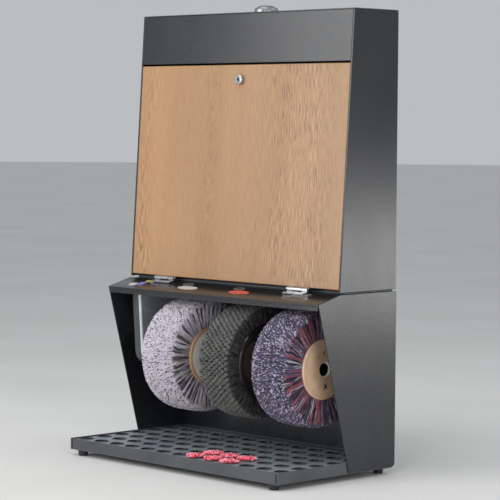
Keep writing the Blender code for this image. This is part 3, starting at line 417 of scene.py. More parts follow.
def guard_plastic(left, right):
    """Grey moulding with painted shade darkening its front and a painted highlight in a bright band along
    the rounded edge beside the brushes.
    """
    made = Finish("guard_plastic")
    across = made.remap(made.part_of("X"), 0, 1, left, right)
    clouds = made.noise(30, detail=4)
    grain = made.noise(1100, detail=2)
    # Painted shade on the dark front, a painted highlight on the bright band at the rounded edge, plain grey
    # on the side face
    dark, bright, plain = colour(62, 64, 68), colour(222, 234, 242), colour(146, 153, 158)
    tone = made.ramp(across, [(0.82, dark), (0.87, bright), (0.99, bright), (0.999, plain)])
    shade = made.ramp(clouds, [(0.3, colour(200, 202, 205)), (0.7, colour(255, 255, 255))])
    tone = made.mix(0.3, tone, shade, "MULTIPLY")
    made.bump(grain, 0.1, 0.2 * MM)
    return made.done(tone, made.remap(clouds, 0.2, 0.35))


def moulded(name, low, high, smooth=0.3, rough=0.5):
    """Moulded plastic or enamel with a fine texture."""
    made = Finish(name)
    clouds = made.noise(30, detail=4)
    grain = made.noise(1100, detail=2)
    tone = made.ramp(clouds, [(0.3, colour(*low)), (0.7, colour(*high))])
    made.bump(grain, 0.1, 0.2 * MM)
    return made.done(tone, made.remap(clouds, smooth, rough))


def bristle(name, tones, root):
    """Strands that each take one of several tones, with painted shade darkening them towards their roots."""
    made = Finish(name, sheen=0.3)
    steps = [(index / len(tones), colour(*tone)) for index, tone in enumerate(tones)]
    own = made.ramp(made.attribute("tint"), steps, steps=True)
    flecks = made.noise(500, detail=2)
    light_and_shade = made.ramp(flecks, [(0.35, colour(40, 36, 44)), (0.65, colour(235, 230, 238))])
    own = made.mix(0.25, own, light_and_shade, "SOFT_LIGHT")
    # Painted shade: each strand falls towards the root tone near its root, and the cores take almost the
    # root tone
    tone = made.mix(made.remap(made.attribute("tip"), 0, 1, 0.05, 0.75), colour(*root), own)
    made.bump(flecks, 0.2, 0.3 * MM)
    return made.done(tone, made.remap(flecks, 0.55, 0.8))


def printed(name, base, mark):
    """A printed marker: plain card with a lighter or darker worn tone."""
    made = Finish(name, coat=0.3)
    wear = made.noise(160, detail=5)
    tone = made.ramp(wear, [(0.25, colour(*mark)), (0.5, colour(*base))])
    made.bump(wear, 0.05, 0.1 * MM)
    return made.done(tone, made.remap(wear, 0.3, 0.5))


def pale_floor():
    """A plain light floor with a barely uneven tone."""
    made = Finish("pale_floor")
    clouds = made.noise(2, detail=5)
    tone = made.ramp(clouds, [(0.3, colour(214, 213, 210)), (0.7, colour(222, 221, 219))])
    return made.done(tone, made.remap(clouds, 0.6, 0.75))


def put(name, mesh, body, finish, nodes=()):
    """Adds a mesh as a piece that rides on a body and stands for the named CAD nodes."""
    mesh.materials.clear()
    mesh.materials.append(finish)
    made = bpy.data.objects.new(name, mesh)
    bpy.context.scene.collection.objects.link(made)
    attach(made, body)
    if nodes:
        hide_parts(*nodes)
    return made


def to_mesh(name, shape, smooth=True):
    mesh = bpy.data.meshes.new(name)
    shape.to_mesh(mesh)
    shape.free()
    if smooth:
        mesh.shade_smooth()
    return mesh


def join_loops(shape, first, second):
    """Faces between two closed loops with as many points."""
    for index in range(len(first)):
        beside = (index + 1) % len(first)
        shape.faces.new((first[index], first[beside], second[beside], second[index]))


def stand_on(place, normal):
    """The place and turn of a flat shape on a surface, its width level along X."""
    across = Vector((1, 0, 0))
    turn = Matrix((across, normal.cross(across), normal)).transposed().to_4x4()
    return Matrix.Translation(place) @ turn


def soften(made, radius):
    """Rounds a piece's sharp edges and keeps its flat faces flat in the light."""
    bevel = made.modifiers.new("edges", "BEVEL")
    bevel.width = radius
    bevel.segments = 2
    bevel.limit_method = "ANGLE"
    bevel.angle_limit = math.radians(32)
    evened = made.modifiers.new("normals", "WEIGHTED_NORMAL")
    evened.weight = 100


def softened(node, finish, radius):
    """A copy of a CAD node with rounded edges, which stands for it."""
    cad = frame["nodes"][node]
    shape = bmesh.new()
    shape.from_mesh(cad.data)
    bmesh.ops.remove_doubles(shape, verts=shape.verts, dist=0.002 * MM)
    bmesh.ops.dissolve_limit(shape, angle_limit=math.radians(1), verts=shape.verts, edges=shape.edges)
    made = put(f"{node}_skin", to_mesh(f"{node}_skin", shape), cad["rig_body"], finish, [node])
    soften(made, radius)


class Strands:
    """Many thin three-sided strands gathered into one mesh, each point with its tint and height."""

    def __init__(self, seed):
        self.chance = random.Random(seed)
        self.points = []
        self.faces = []
        self.tints = []
        self.tips = []

    def point(self, place, tint, tip):
        self.points.append(place)
        self.tints.append(tint)
        self.tips.append(tip)

    def add(self, path, radii, tint, root=0.0):
        way = (path[-1] - path[0]).normalized()
        turn = Matrix.Rotation(self.chance.uniform(0, math.tau), 3, way)
        side = turn @ way.orthogonal().normalized()
        other = way.cross(side)
        first = len(self.points)
        last = len(path) - 1
        for step, (centre, radius) in enumerate(zip(path, radii)):
            for corner in range(3):
                angle = math.tau * corner / 3
                place = centre + radius * (math.cos(angle) * side + math.sin(angle) * other)
                self.point(place, tint, root + (1 - root) * step / last)
        for step in range(last):
            for corner in range(3):
                near = first + 3 * step + corner
                beside = first + 3 * step + (corner + 1) % 3
                self.faces.append((near, beside, beside + 3, near + 3))
        end = first + 3 * last
        self.faces.append((end, end + 1, end + 2))

    def lathe(self, profile, place, sides, tint, tip):
        """A core under the strands, from a profile of (along, radius) points."""
        first = len(self.points)
        for along, radius in profile:
            for index in range(sides):
                self.point(place(along, radius, math.tau * index / sides), tint, tip)
        for row in range(len(profile) - 1):
            for index in range(sides):
                near = first + row * sides + index
                beside = first + row * sides + (index + 1) % sides
                self.faces.append((near, near + sides, beside + sides, beside))

    def mesh(self, name):
        mesh = bpy.data.meshes.new(name)
        mesh.from_pydata(self.points, [], self.faces)
        for title, values in (("tint", self.tints), ("tip", self.tips)):
            mesh.attributes.new(title, "FLOAT", "POINT").data.foreach_set("value", values)
        mesh.update()
        mesh.shade_smooth()
        return mesh


def about_axis(x, radius, angle):
    """A point about the brush axis."""
    return Vector((x, AXIS_Y + radius * math.cos(angle), AXIS_Z + radius * math.sin(angle)))


def shoulder(u, tip_radius, drop):
    """The tip radius across a brush's tread: even in the middle, lower at the edges."""
    return tip_radius - drop * abs(u) ** 5


def brush_core(strands, middle, half, disc_radius, tip_radius, depth, drop):
    """The closed core under a brush's strands, a given depth below their tips, in almost the dark root tone
    as painted shade between the strands.
    """
    profile = [(middle - half + CORE_END_INSET, disc_radius - CORE_EDGE_INSET)]
    for step in range(9):
        u = step / 4 - 1
        profile.append((middle + u * (half - CORE_EDGE_INSET), shoulder(u, tip_radius, drop) - depth))
    profile.append((middle + half - CORE_END_INSET, disc_radius - CORE_EDGE_INSET))
    # Tint and tip of 0.1 give the core almost the root tone: painted shade
    strands.lathe(profile, about_axis, CORE_SIDES, 0.1, 0.1)


def brush_tread(strands, middle, half, tip_radius, pile, drop, pitch, thick, tints):
    """Short strands packed over the tread, their tips slightly uneven."""
    rows = round(2 * half / pitch)
    around = round(math.tau * tip_radius / pitch)
    chance = strands.chance
    for row in range(rows):
        for column in range(around):
            u = (row + 0.5 + chance.uniform(-0.4, 0.4)) / rows * 2 - 1
            angle = math.tau * (column + 0.5 * (row % 2) + chance.uniform(-0.4, 0.4)) / around
            reach = shoulder(u, tip_radius, drop) - chance.uniform(0, 0.3) * pile
            splay = chance.uniform(-0.02, 0.02)
            low, high = chance.choice(tints)
            base = about_axis(middle + 0.94 * u * half, reach - pile, angle)
            tip = about_axis(middle + u * (half - 1.5 * MM), reach, angle + splay)
            strands.add([base, tip], [thick, 0.8 * thick], chance.uniform(low, high), 0.3)


def brush_tufts(strands, middle, half, tip_radius, pile, drop, pitch, thick):
    """Round tufts in a staggered pattern that touch, with dark dots left between them."""
    rows = round(2 * half / pitch)
    around = round(math.tau * tip_radius / (1.3 * pitch))
    chance = strands.chance
    for row in range(rows):
        for column in range(around):
            u = (row + 0.5) / rows * 2 - 1
            angle = math.tau * (column + 0.5 * (row % 2)) / around
            x = middle + u * (half - 4 * MM)
            tint = chance.uniform(0.26, 0.99)
            for strand in range(TUFT_STRANDS):
                lean = chance.uniform(0, math.tau)
                wide = pitch * 0.37 * math.sqrt(chance.random())
                shift = wide * math.cos(lean)
                swing = wide * math.sin(lean) * 1.2 / tip_radius
                reach = shoulder(u, tip_radius, drop) - chance.uniform(0, 0.16) * pile
                base = about_axis(x + 0.7 * shift, reach - pile, angle + 0.7 * swing)
                tip = about_axis(x + shift, reach, angle + swing)
                strands.add([base, tip], [thick, 0.9 * thick], tint, 0.15)


def brush_face(strands, face_x, inward, disc_radius, tip_radius, drop, clumps, tints, thick):
    """Long wavy strands on a brush's side, gathered in clumps, from the disc out to the tread."""
    chance = strands.chance
    start = disc_radius - 2 * MM
    for clump in range(clumps):
        centre = math.tau * (clump + chance.uniform(-0.3, 0.3)) / clumps
        low, high = chance.choice(tints)
        sway = chance.uniform(-0.06, 0.06)
        reach = tip_radius - drop - chance.uniform(0, 4) * MM
        for strand in range(CLUMP_STRANDS):
            spread = chance.uniform(-0.46, 0.46) * math.tau / clumps
            tint = chance.uniform(low, high)
            path = []
            for share in (0, 0.35, 0.7, 1):
                turn = centre + spread * (1 - 0.5 * share) + sway * math.sin(2.5 * share)
                turn += chance.uniform(-0.026, 0.026)
                depth = chance.uniform(4, 8) - 3.2 * share
                path.append(about_axis(face_x + inward * depth * MM, start + (reach - start) * share, turn))
            strands.add(path, [thick, thick, thick, 0.8 * thick], tint, 0.65)


def disc_shape(radius, face_x, inward, thick, ridged):
    """A turned disc with a chamfered bore and a rounded rim, or a rim of two sharp ridges."""
    profile = [(thick, DISC_BORE_RADIUS), (BORE_CHAMFER, DISC_BORE_RADIUS)]
    profile.append((0, DISC_BORE_RADIUS + BORE_CHAMFER))
    if ridged:
        steps = ((0, 10), (1.3, 8), (0.4, 7.2), (0.4, 3), (1.7, 1))
        profile += [(along * MM, radius - inset * MM) for along, inset in steps]
    else:
        for step in range(7):
            angle = math.pi / 2 * step / 6
            along = DISC_ROUND * (1 - math.cos(angle))
            profile.append((along, radius - DISC_ROUND * (1 - math.sin(angle))))
    profile.append((thick, radius))
    shape = bmesh.new()
    turns = [math.tau * index / DISC_SIDES for index in range(DISC_SIDES)]
    rings = []
    for along, reach in profile:
        rings.append([shape.verts.new(about_axis(face_x + inward * along, reach, a)) for a in turns])
    for first, second in zip(rings, rings[1:] + rings[:1]):
        join_loops(shape, first, second)
    bmesh.ops.recalc_face_normals(shape, faces=shape.faces)
    return shape


def drilled(name, shape, drill):
    """A mesh with the drill's shape cut out of it."""
    body = bpy.data.objects.new(name, to_mesh(name, shape))
    tool = bpy.data.objects.new(f"{name}_drill", to_mesh(f"{name}_drill", drill))
    for item in (body, tool):
        bpy.context.scene.collection.objects.link(item)
    cut = body.modifiers.new("holes", "BOOLEAN")
    cut.object = tool
    cut.solver = "EXACT"
    mesh = bpy.data.meshes.new_from_object(body.evaluated_get(bpy.context.evaluated_depsgraph_get()))
    for item in (body, tool):
        bpy.data.objects.remove(item)
    return mesh


def make_disc(brush, side, radius, finish):
    """A brush's end disc with two small holes, instead of the CAD disc."""
    node = f"{brush}_{side}_disc"
    low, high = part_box(node)
    face_x, inward = (low.x, 1) if side == "left" else (high.x, -1)
    shape = disc_shape(radius, face_x, inward, high.x - low.x, brush == "cleaning_brush")
    drill = bmesh.new()
    for way in (-1, 1):
        stand = Matrix.Translation((face_x, AXIS_Y, AXIS_Z + way * DISC_HOLE_CIRCLE))
        bmesh.ops.create_cone(
            drill,
            cap_ends=True,
            segments=20,
            radius1=DISC_HOLE_RADIUS,
            radius2=DISC_HOLE_RADIUS,
            depth=30 * MM,
            matrix=stand @ Matrix.Rotation(math.pi / 2, 4, "Y"),
        )
    mesh = drilled(f"{node}_skin", shape, drill)
    put(f"{node}_skin", mesh, "brushes", finish, [node])
    mesh.set_sharp_from_angle(angle=EDGE_ANGLE)


def make_polish_brush(node, finish, seed, tread_tints, face_tints):
    """A soft brush: a closely packed tread and long strands on both sides."""
    low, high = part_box(node)
    middle, half = (low.x + high.x) / 2, (high.x - low.x) / 2
    disc, reach, drop = POLISH_DISC_RADIUS, POLISH_RADIUS, POLISH_DROP
    strands = Strands(seed)
    brush_core(strands, middle, half, disc, reach, POLISH_CORE_DEPTH, drop)
    brush_tread(strands, middle, half, reach, POLISH_PILE, drop, POLISH_PITCH, POLISH_STRAND, tread_tints)
    for face_x, inward in ((low.x, 1), (high.x, -1)):
        brush_face(strands, face_x, inward, disc, reach, drop, POLISH_CLUMPS, face_tints, POLISH_FACE_STRAND)
    put(f"{node}_bristles", strands.mesh(f"{node}_bristles"), "brushes", finish, [node])


def make_cleaning_brush(finish):
    """A stiff brush: round tufts over the tread and long strands on both sides."""
    low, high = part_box("cleaning_brush")
    middle, half = (low.x + high.x) / 2, (high.x - low.x) / 2
    disc, reach, drop = CLEAN_DISC_RADIUS, CLEAN_RADIUS, CLEAN_DROP
    strands = Strands(CLEAN_SEED)
    brush_core(strands, middle, half, disc, reach, CLEAN_CORE_DEPTH, drop)
    brush_tufts(strands, middle, half, reach, CLEAN_PILE, drop, CLEAN_PITCH, CLEAN_STRAND)
    for face_x, inward in ((low.x, 1), (high.x, -1)):
        tints, thick = CLEAN_FACE_TINTS, CLEAN_FACE_STRAND
        brush_face(strands, face_x, inward, disc, reach, drop, CLEAN_CLUMPS, tints, thick)
    mesh = strands.mesh("cleaning_bristles")
    put("cleaning_bristles", mesh, "brushes", finish, ["cleaning_brush"])


def make_sole_brush(number, finish):
    """A round tuft of stiff bristles that fans out of a hole in the mat."""
    node = f"sole_brush_{number}"
    low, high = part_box(node)
    centre = (low + high) / 2
    strands = Strands(SOLE_SEED + number)
    chance = strands.chance

    def about(along, radius, angle):
        return Vector((centre.x + radius * math.cos(angle), centre.y + radius * math.sin(angle), along))

    # The core takes almost the dark root tone, painted shade between the strands
    core = [(low.z + 4 * MM, 9 * MM), (high.z - 8 * MM, 9 * MM)]
    core += [(high.z - 7 * MM, 15 * MM), (high.z - 6 * MM, 0.2 * MM)]
    strands.lathe(core, about, 20, 0.2, 0.1)
    for strand in range(SOLE_STRANDS):
        share = math.sqrt(chance.random())
        angle = chance.uniform(0, math.tau)
        start = about(high.z - 10 * MM, 8 * MM * share, angle)
        halfway = about(high.z - 6 * MM, 14 * MM * share, angle + chance.uniform(-0.1, 0.1))
        fall = 2 * MM * share ** 4 + chance.uniform(0, 4) * MM
        end = about(high.z - fall, (SOLE_TUFT_RADIUS - 1.2 * MM) * share, angle + chance.uniform(-0.2, 0.2))
        strands.add([start, halfway, end], [1.1 * MM, 1.3 * MM, 1.1 * MM], chance.random(), 0.25)
    put(f"{node}_bristles", strands.mesh(f"{node}_bristles"), "cabinet", finish, [node])


def cell_rim(low, high, steps=6):
    """Points round a rectangle, evenly along each side."""
    corners = [(low[0], low[1]), (high[0], low[1]), (high[0], high[1]), (low[0], high[1])]
    rim = []
    for first, second in zip(corners, corners[1:] + corners[:1]):
        for step in range(steps):
            share = step / steps
            x = first[0] + (second[0] - first[0]) * share
            y = first[1] + (second[1] - first[1]) * share
            rim.append((x, y))
    return rim


def make_mat(finish):
    """A rubber mat with round holes, each in a low collar with a rolled rim."""
    low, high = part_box("rubber_mat")
    face = high.z - MAT_COLLAR_HEIGHT
    shape = bmesh.new()
    level = shape.verts.layers.float.new("level")
    xs = [(column - (MAT_COLUMNS - 1) / 2) * MAT_PITCH for column in range(MAT_COLUMNS)]
    ys = [MAT_FIRST_ROW_Y + row * MAT_PITCH for row in range(MAT_ROWS)]

    def toned(points, tone):
        made = [shape.verts.new(point) for point in points]
        for vertex in made:
            vertex[level] = tone
        return made

    def borders(places, first, last):
        between = [(a + b) / 2 for a, b in zip(places, places[1:])]
        return [first] + between + [last]

    across = borders(xs, low.x, high.x)
    along = borders(ys, low.y, high.y)
    for column, x in enumerate(xs):
        for row, y in enumerate(ys):
            rim = cell_rim((across[column], along[row]), (across[column + 1], along[row + 1]))
            rings = [(MAT_COLLAR_RADIUS + MAT_COLLAR_FOOT, face, FACE_LEVEL)]
            rings.append((MAT_COLLAR_RADIUS, face + 0.3 * MM, COLLAR_LEVEL))
            for step, tone in enumerate(BEAD_LEVELS):
                angle = math.pi * step / 4
                radius = MAT_MOUTH_RADIUS + MAT_RIM * math.cos(angle)
                rings.append((radius, high.z - MAT_BEAD * (1 - math.sin(angle)), tone))
            rings.append((MAT_HOLE_RADIUS, high.z - 3 * MAT_COLLAR_HEIGHT, HOLE_LEVEL))
            rings.append((MAT_HOLE_RADIUS, low.z, HOLE_LEVEL))
            turns = [math.atan2(py - y, px - x) for px, py in rim]
            loops = [toned([(px, py, face) for px, py in rim], FACE_LEVEL)]
            for radius, z, tone in rings:
                points = [(x + radius * math.cos(a), y + radius * math.sin(a), z) for a in turns]
                loops.append(toned(points, tone))
            for outer, inner in zip(loops, loops[1:]):
                join_loops(shape, outer, inner)
    bmesh.ops.remove_doubles(shape, verts=shape.verts, dist=0.01 * MM)
    border = [item for item in shape.edges if item.is_boundary]
    edge = [item for item in border if min(v.co.z for v in item.verts) > low.z + MM]
    for bottom in (face - 0.4 * MM, low.z):
        wall = bmesh.ops.extrude_edge_only(shape, edges=edge)["geom"]
        edge = [item for item in wall if isinstance(item, bmesh.types.BMEdge) and item.is_boundary]
        for item in wall:
            if isinstance(item, bmesh.types.BMVert):
                item.co.z = bottom
                item[level] = WALL_LEVEL
    bmesh.ops.recalc_face_normals(shape, faces=shape.faces)
    made = put("mat_skin", to_mesh("mat_skin", shape), "cabinet", finish, ["rubber_mat"])
    evened = made.modifiers.new("normals", "WEIGHTED_NORMAL")
    evened.weight = 60


def marker_plate(outline, thick):
    """A thin plate from a flat outline, standing on z 0."""
    shape = bmesh.new()
    face = shape.faces.new([shape.verts.new((x, y, 0)) for x, y in outline])
    pulled = bmesh.ops.extrude_face_region(shape, geom=[face])
    lifted = [item for item in pulled["geom"] if isinstance(item, bmesh.types.BMVert)]
    bmesh.ops.translate(shape, vec=(0, 0, thick), verts=lifted)
    bmesh.ops.recalc_face_normals(shape, faces=shape.faces)
    return shape


def oval(width, height, power=2.0, steps=28):
    """An ellipse, or with a higher power a rounded rectangle."""
    outline = []
    for step in range(steps):
        angle = math.tau * step / steps
        x, y = math.cos(angle), math.sin(angle)
        outline.append(
            (
                math.copysign(abs(x) ** (2 / power), x) * width / 2,
                math.copysign(abs(y) ** (2 / power), y) * height / 2,
            )
        )
    return outline


def apron_stand(x, share):
    """The place and turn of a flat marker on the apron's slope."""
    run = Vector((0, APRON_EDGE[0] - APRON_FOLD[0], APRON_EDGE[1] - APRON_FOLD[1]))
    normal = run.normalized().cross(Vector((1, 0, 0)))
    middle = Vector((x, *APRON_FOLD)) + run * share
    return stand_on(middle + normal * MARKER_CLEARANCE, normal)


def make_marker(name, x, share, outline, tones, lift=0.0):
    """One flat coloured shape of a function marker, on the apron in front of its brush."""
    shape = marker_plate(outline, MARKER_THICK)
    bmesh.ops.translate(shape, vec=(0, 0, lift), verts=shape.verts)
    bmesh.ops.transform(shape, matrix=apron_stand(x, share), verts=shape.verts)
    put(name, to_mesh(name, shape, smooth=False), "cabinet", printed(name, *tones))


def make_markers():
    """Plain markers in place of the printed function labels: patches, lenses and rules."""
    white = ((188, 188, 186), (150, 150, 148))
    blue = ((92, 104, 190), (120, 130, 196))
    lime = ((170, 172, 84), (150, 152, 96))
    red = ((196, 58, 52), (214, 110, 100))
    grey = ((122, 121, 119), (104, 103, 101))
    ink = ((34, 33, 33), (52, 51, 50))
    make_marker("marker_1_white", -0.250, 0.6, oval(22 * MM, 16 * MM, 3), white)
    make_marker("marker_1_blue", -0.233, 0.5, oval(20 * MM, 20 * MM, 3), blue)
    make_marker("marker_1_lime", -0.228, 0.22, oval(16 * MM, 11 * MM, 3), lime)
    make_marker("marker_1_pale", -0.214, 0.22, oval(9 * MM, 13 * MM, 3), white)
    for number, x, tones in ((2, -0.091, white), (3, 0.057, red)):
        make_marker(f"marker_{number}_lens", x, 0.52, oval(56 * MM, 19 * MM), tones)
        ring_x = x - 18 * MM
        make_marker(f"marker_{number}_ring", ring_x, 0.2, oval(28 * MM, 14 * MM), grey)
        make_marker(f"marker_{number}_middle", ring_x, 0.2, oval(23 * MM, 9.5 * MM), ink, MARKER_THICK)
    last_x = 0.214
    make_marker("marker_4_lens", last_x, 0.62, oval(66 * MM, 15 * MM), grey)
    make_marker("marker_4_middle", last_x, 0.62, oval(58 * MM, 10 * MM), ink, MARKER_THICK)
    for row in range(4):
        make_marker(f"marker_4_rule_{row}", last_x, 0.18 + 0.11 * row, oval(46 * MM, 2.6 * MM, 6), grey)


def screw_head(shape, place, normal, size=SCREW_RADIUS):
    """A low domed screw head with a cross recess, on a surface."""
    turn = normal.to_track_quat("Z", "Y").to_matrix().to_4x4()
    stand = Matrix.Translation(place) @ turn
    rings = []
    for radius, height in ((1.0, 0.0), (0.98, 0.25), (0.8, 0.55), (0.45, 0.68), (0.4, 0.35)):
        ring = []
        for index in range(SCREW_SIDES):
            angle = math.tau * index / SCREW_SIDES
            squeeze = 0.45 if radius < 0.42 and index % 3 else 1.0
            flat = Vector((math.cos(angle), math.sin(angle), 0)) * radius * squeeze * size
            ring.append(shape.verts.new(stand @ (flat + Vector((0, 0, height * size)))))
        rings.append(ring)
    for outer, inner in zip(rings, rings[1:]):
        join_loops(shape, outer, inner)
    shape.faces.new(rings[-1])


def make_back_screws(finish):
    """Screws along the edges of the two back panels."""
    shape = bmesh.new()
    for node, rows in (("upper_back_panel", 4), ("lower_back_panel", 3)):
        low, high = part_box(node)
        for row in range(rows):
            z = low.z + PANEL_SCREW_END + (high.z - low.z - 2 * PANEL_SCREW_END) * row / (rows - 1)
            for x in (low.x + PANEL_SCREW_INSET, high.x - PANEL_SCREW_INSET):
                screw_head(shape, Vector((x, high.y, z)), Vector((0, 1, 0)))
    put("back_screws", to_mesh("back_screws", shape), "cabinet", finish)


def make_disc_screws(finish):
    """One small screw in the lower hole of each brush disc."""
    shape = bmesh.new()
    for brush in ("light_brush", "cleaning_brush", "dark_brush"):
        for side, way in (("left", -1), ("right", 1)):
            low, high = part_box(f"{brush}_{side}_disc")
            x = high.x if way > 0 else low.x
            place = Vector((x, AXIS_Y, AXIS_Z - DISC_HOLE_CIRCLE))
            screw_head(shape, place, Vector((way, 0, 0)), DISC_HOLE_RADIUS + 0.5 * MM)
    put("disc_screws", to_mesh("disc_screws", shape), "brushes", finish)


def make_key_slot_shade(finish):
    """A dark plate over the key slot, on the face of the lock's plug: painted shade in place of the slot's
    dark recess.
    """
    normal = Vector(LOCK_NORMAL)
    centre = Vector(LOCK_PLACE)
    reach = max(vertex.co.dot(normal) for vertex in frame["nodes"]["lock_plug"].data.vertices)
    stand = stand_on(centre + normal * (reach - centre.dot(normal)), normal)
    shape = marker_plate(oval(4.6 * MM, 10 * MM, 2.5), SLOT_SHADE_THICK)
    bmesh.ops.transform(shape, matrix=stand, verts=shape.verts)
    put("key_slot_shade", to_mesh("key_slot_shade", shape), "lock", finish)


def make_motor_fins(finish):
    """Cooling fins over the upper part of the motor, clear of its bracket."""
    low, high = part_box("motor_body")
    axis_y, axis_z = (low.y + high.y) / 2, high.z - MOTOR_RADIUS
    half, tip = FIN_HALF_WIDTH, 0.6 * FIN_HALF_WIDTH
    profile = ((-half, -FIN_ROOT), (-tip, FIN_HEIGHT), (tip, FIN_HEIGHT), (half, -FIN_ROOT))
    shape = bmesh.new()
    for fin in range(FIN_COUNT):
        x = low.x + FIN_START + (high.x - low.x - FIN_START - FIN_END) * fin / (FIN_COUNT - 1)
        rows = []
        for step in range(FIN_STEPS + 1):
            angle = math.radians(-15 + 210 * step / FIN_STEPS)
            row = []
            for along, proud in profile:
                reach = MOTOR_RADIUS + proud
                place = (x + along, axis_y + reach * math.cos(angle), axis_z + reach * math.sin(angle))
                row.append(shape.verts.new(place))
            rows.append(row)
        for first, second in zip(rows, rows[1:]):
            join_loops(shape, first, second)
        shape.faces.new(rows[0])
        shape.faces.new(rows[-1][::-1])
    bmesh.ops.recalc_face_normals(shape, faces=shape.faces)
    mesh = to_mesh("motor_fins", shape)
    mesh.set_sharp_from_angle(angle=EDGE_ANGLE)
    put("motor_fins", mesh, "cabinet", finish)


def make_inner_screws(finish):
    """Screws on the motor's right end and on the control box's lid."""
    shape = bmesh.new()
    low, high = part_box("motor_body")
    for turn in range(4):
        angle = math.radians(45 + 90 * turn)
        y = (low.y + high.y) / 2 + MOTOR_SCREW_CIRCLE * math.cos(angle)
        z = high.z - MOTOR_RADIUS + MOTOR_SCREW_CIRCLE * math.sin(angle)
        screw_head(shape, Vector((high.x, y, z)), Vector((1, 0, 0)))
    low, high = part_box("control_box")
    for x in (low.x + LID_SCREW_INSET, high.x - LID_SCREW_INSET):
        for y in (low.y + LID_SCREW_INSET, high.y - LID_SCREW_INSET):
            screw_head(shape, Vector((x, y, high.z)), Vector((0, 0, 1)))
    put("inner_screws", to_mesh("inner_screws", shape), "cabinet", finish)


def add_camera():
    """The photograph's view, with the camera turned, tipped and slightly rolled."""
    yaw, pitch, roll = (math.radians(a) for a in (CAMERA_YAW, CAMERA_PITCH, CAMERA_ROLL))
    away = Vector((math.sin(yaw) * math.cos(pitch), -math.cos(yaw) * math.cos(pitch), math.sin(pitch)))
    level = Vector((0, 0, 1)).cross(away).normalized()
    upright = away.cross(level)
    right = level * math.cos(roll) + upright * math.sin(roll)
    top = upright * math.cos(roll) - level * math.sin(roll)
    data = bpy.data.cameras.new("camera")
    data.lens = CAMERA_LENS
    data.sensor_width = SENSOR_WIDTH
    data.sensor_fit = "HORIZONTAL"
    camera = bpy.data.objects.new("camera", data)
    turn = Matrix((right, top, away)).transposed().to_4x4()
    camera.matrix_world = Matrix.Translation(CAMERA_PLACE) @ turn
    bpy.context.scene.collection.objects.link(camera)
    bpy.context.scene.camera = camera


def add_softbox(name, place, target, width, height, power, spread=180):
    """A soft rectangular light aimed at a target, in metres, watts and degrees of spread."""
    data = bpy.data.lights.new(name, "AREA")
    data.shape = "RECTANGLE"
    data.size = width
    data.size_y = height
    data.energy = power
    data.spread = math.radians(spread)
    lamp = bpy.data.objects.new(name, data)
    lamp.location = place
    lamp.rotation_euler = (Vector(target) - Vector(place)).to_track_quat("-Z", "Y").to_euler()
    lamp.visible_camera = False
    bpy.context.scene.collection.objects.link(lamp)


def add_studio():
    """Even sky light, soft lights around the part and a pale floor."""
    world = bpy.data.worlds.new("studio")
    world.use_nodes = True
    sky = world.node_tree.nodes["Background"]
    sky.inputs["Color"].default_value = (0.9, 0.93, 0.97, 1)
    sky.inputs["Strength"].default_value = 0.55
    bpy.context.scene.world = world
    bpy.context.scene.view_settings.view_transform = "Standard"
    add_softbox("front_softbox", (-1.1, -2.45, 1.35), (0, 0, 0.55), 2.1, 1.6, 45)
    add_softbox("side_softbox", (2.7, 2.5, 0.2), (0.3, 0, 0.2), 2.2, 0.38, 2.3, 70)
    add_softbox("ground_softbox", (2.0, 1.6, 1.9), (2.0, 1.6, 0), 2.4, 2.4, 14)
    add_softbox("top_softbox", (0.3, -0.9, 2.8), (0, 0, 0.4), 1.6, 1.6, 20)
    add_softbox("fill_softbox", (2.3, -3.3, 1.1), (0.1, 0, 0.25), 0.8, 2.0, 17)
    add_softbox("right_softbox", (3.7, -1.4, 0.8), (0, 0, 0.25), 1.2, 1.4, 34)
    add_softbox("low_softbox", (-0.5, -1.7, 0.12), (0, 0, 0.2), 1.2, 0.15, 2.6)
    shape = bmesh.new()
    bmesh.ops.create_circle(shape, cap_ends=True, segments=64, radius=FLOOR_RADIUS)
    mesh = to_mesh("floor", shape, smooth=False)
    mesh.materials.append(pale_floor())
    floor = bpy.data.objects.new("floor", mesh)
    bpy.context.scene.collection.objects.link(floor)


def door_sides():
    """The door's left and right edges, which place its grain."""
    low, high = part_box("door_panel")
    return low.x, high.x


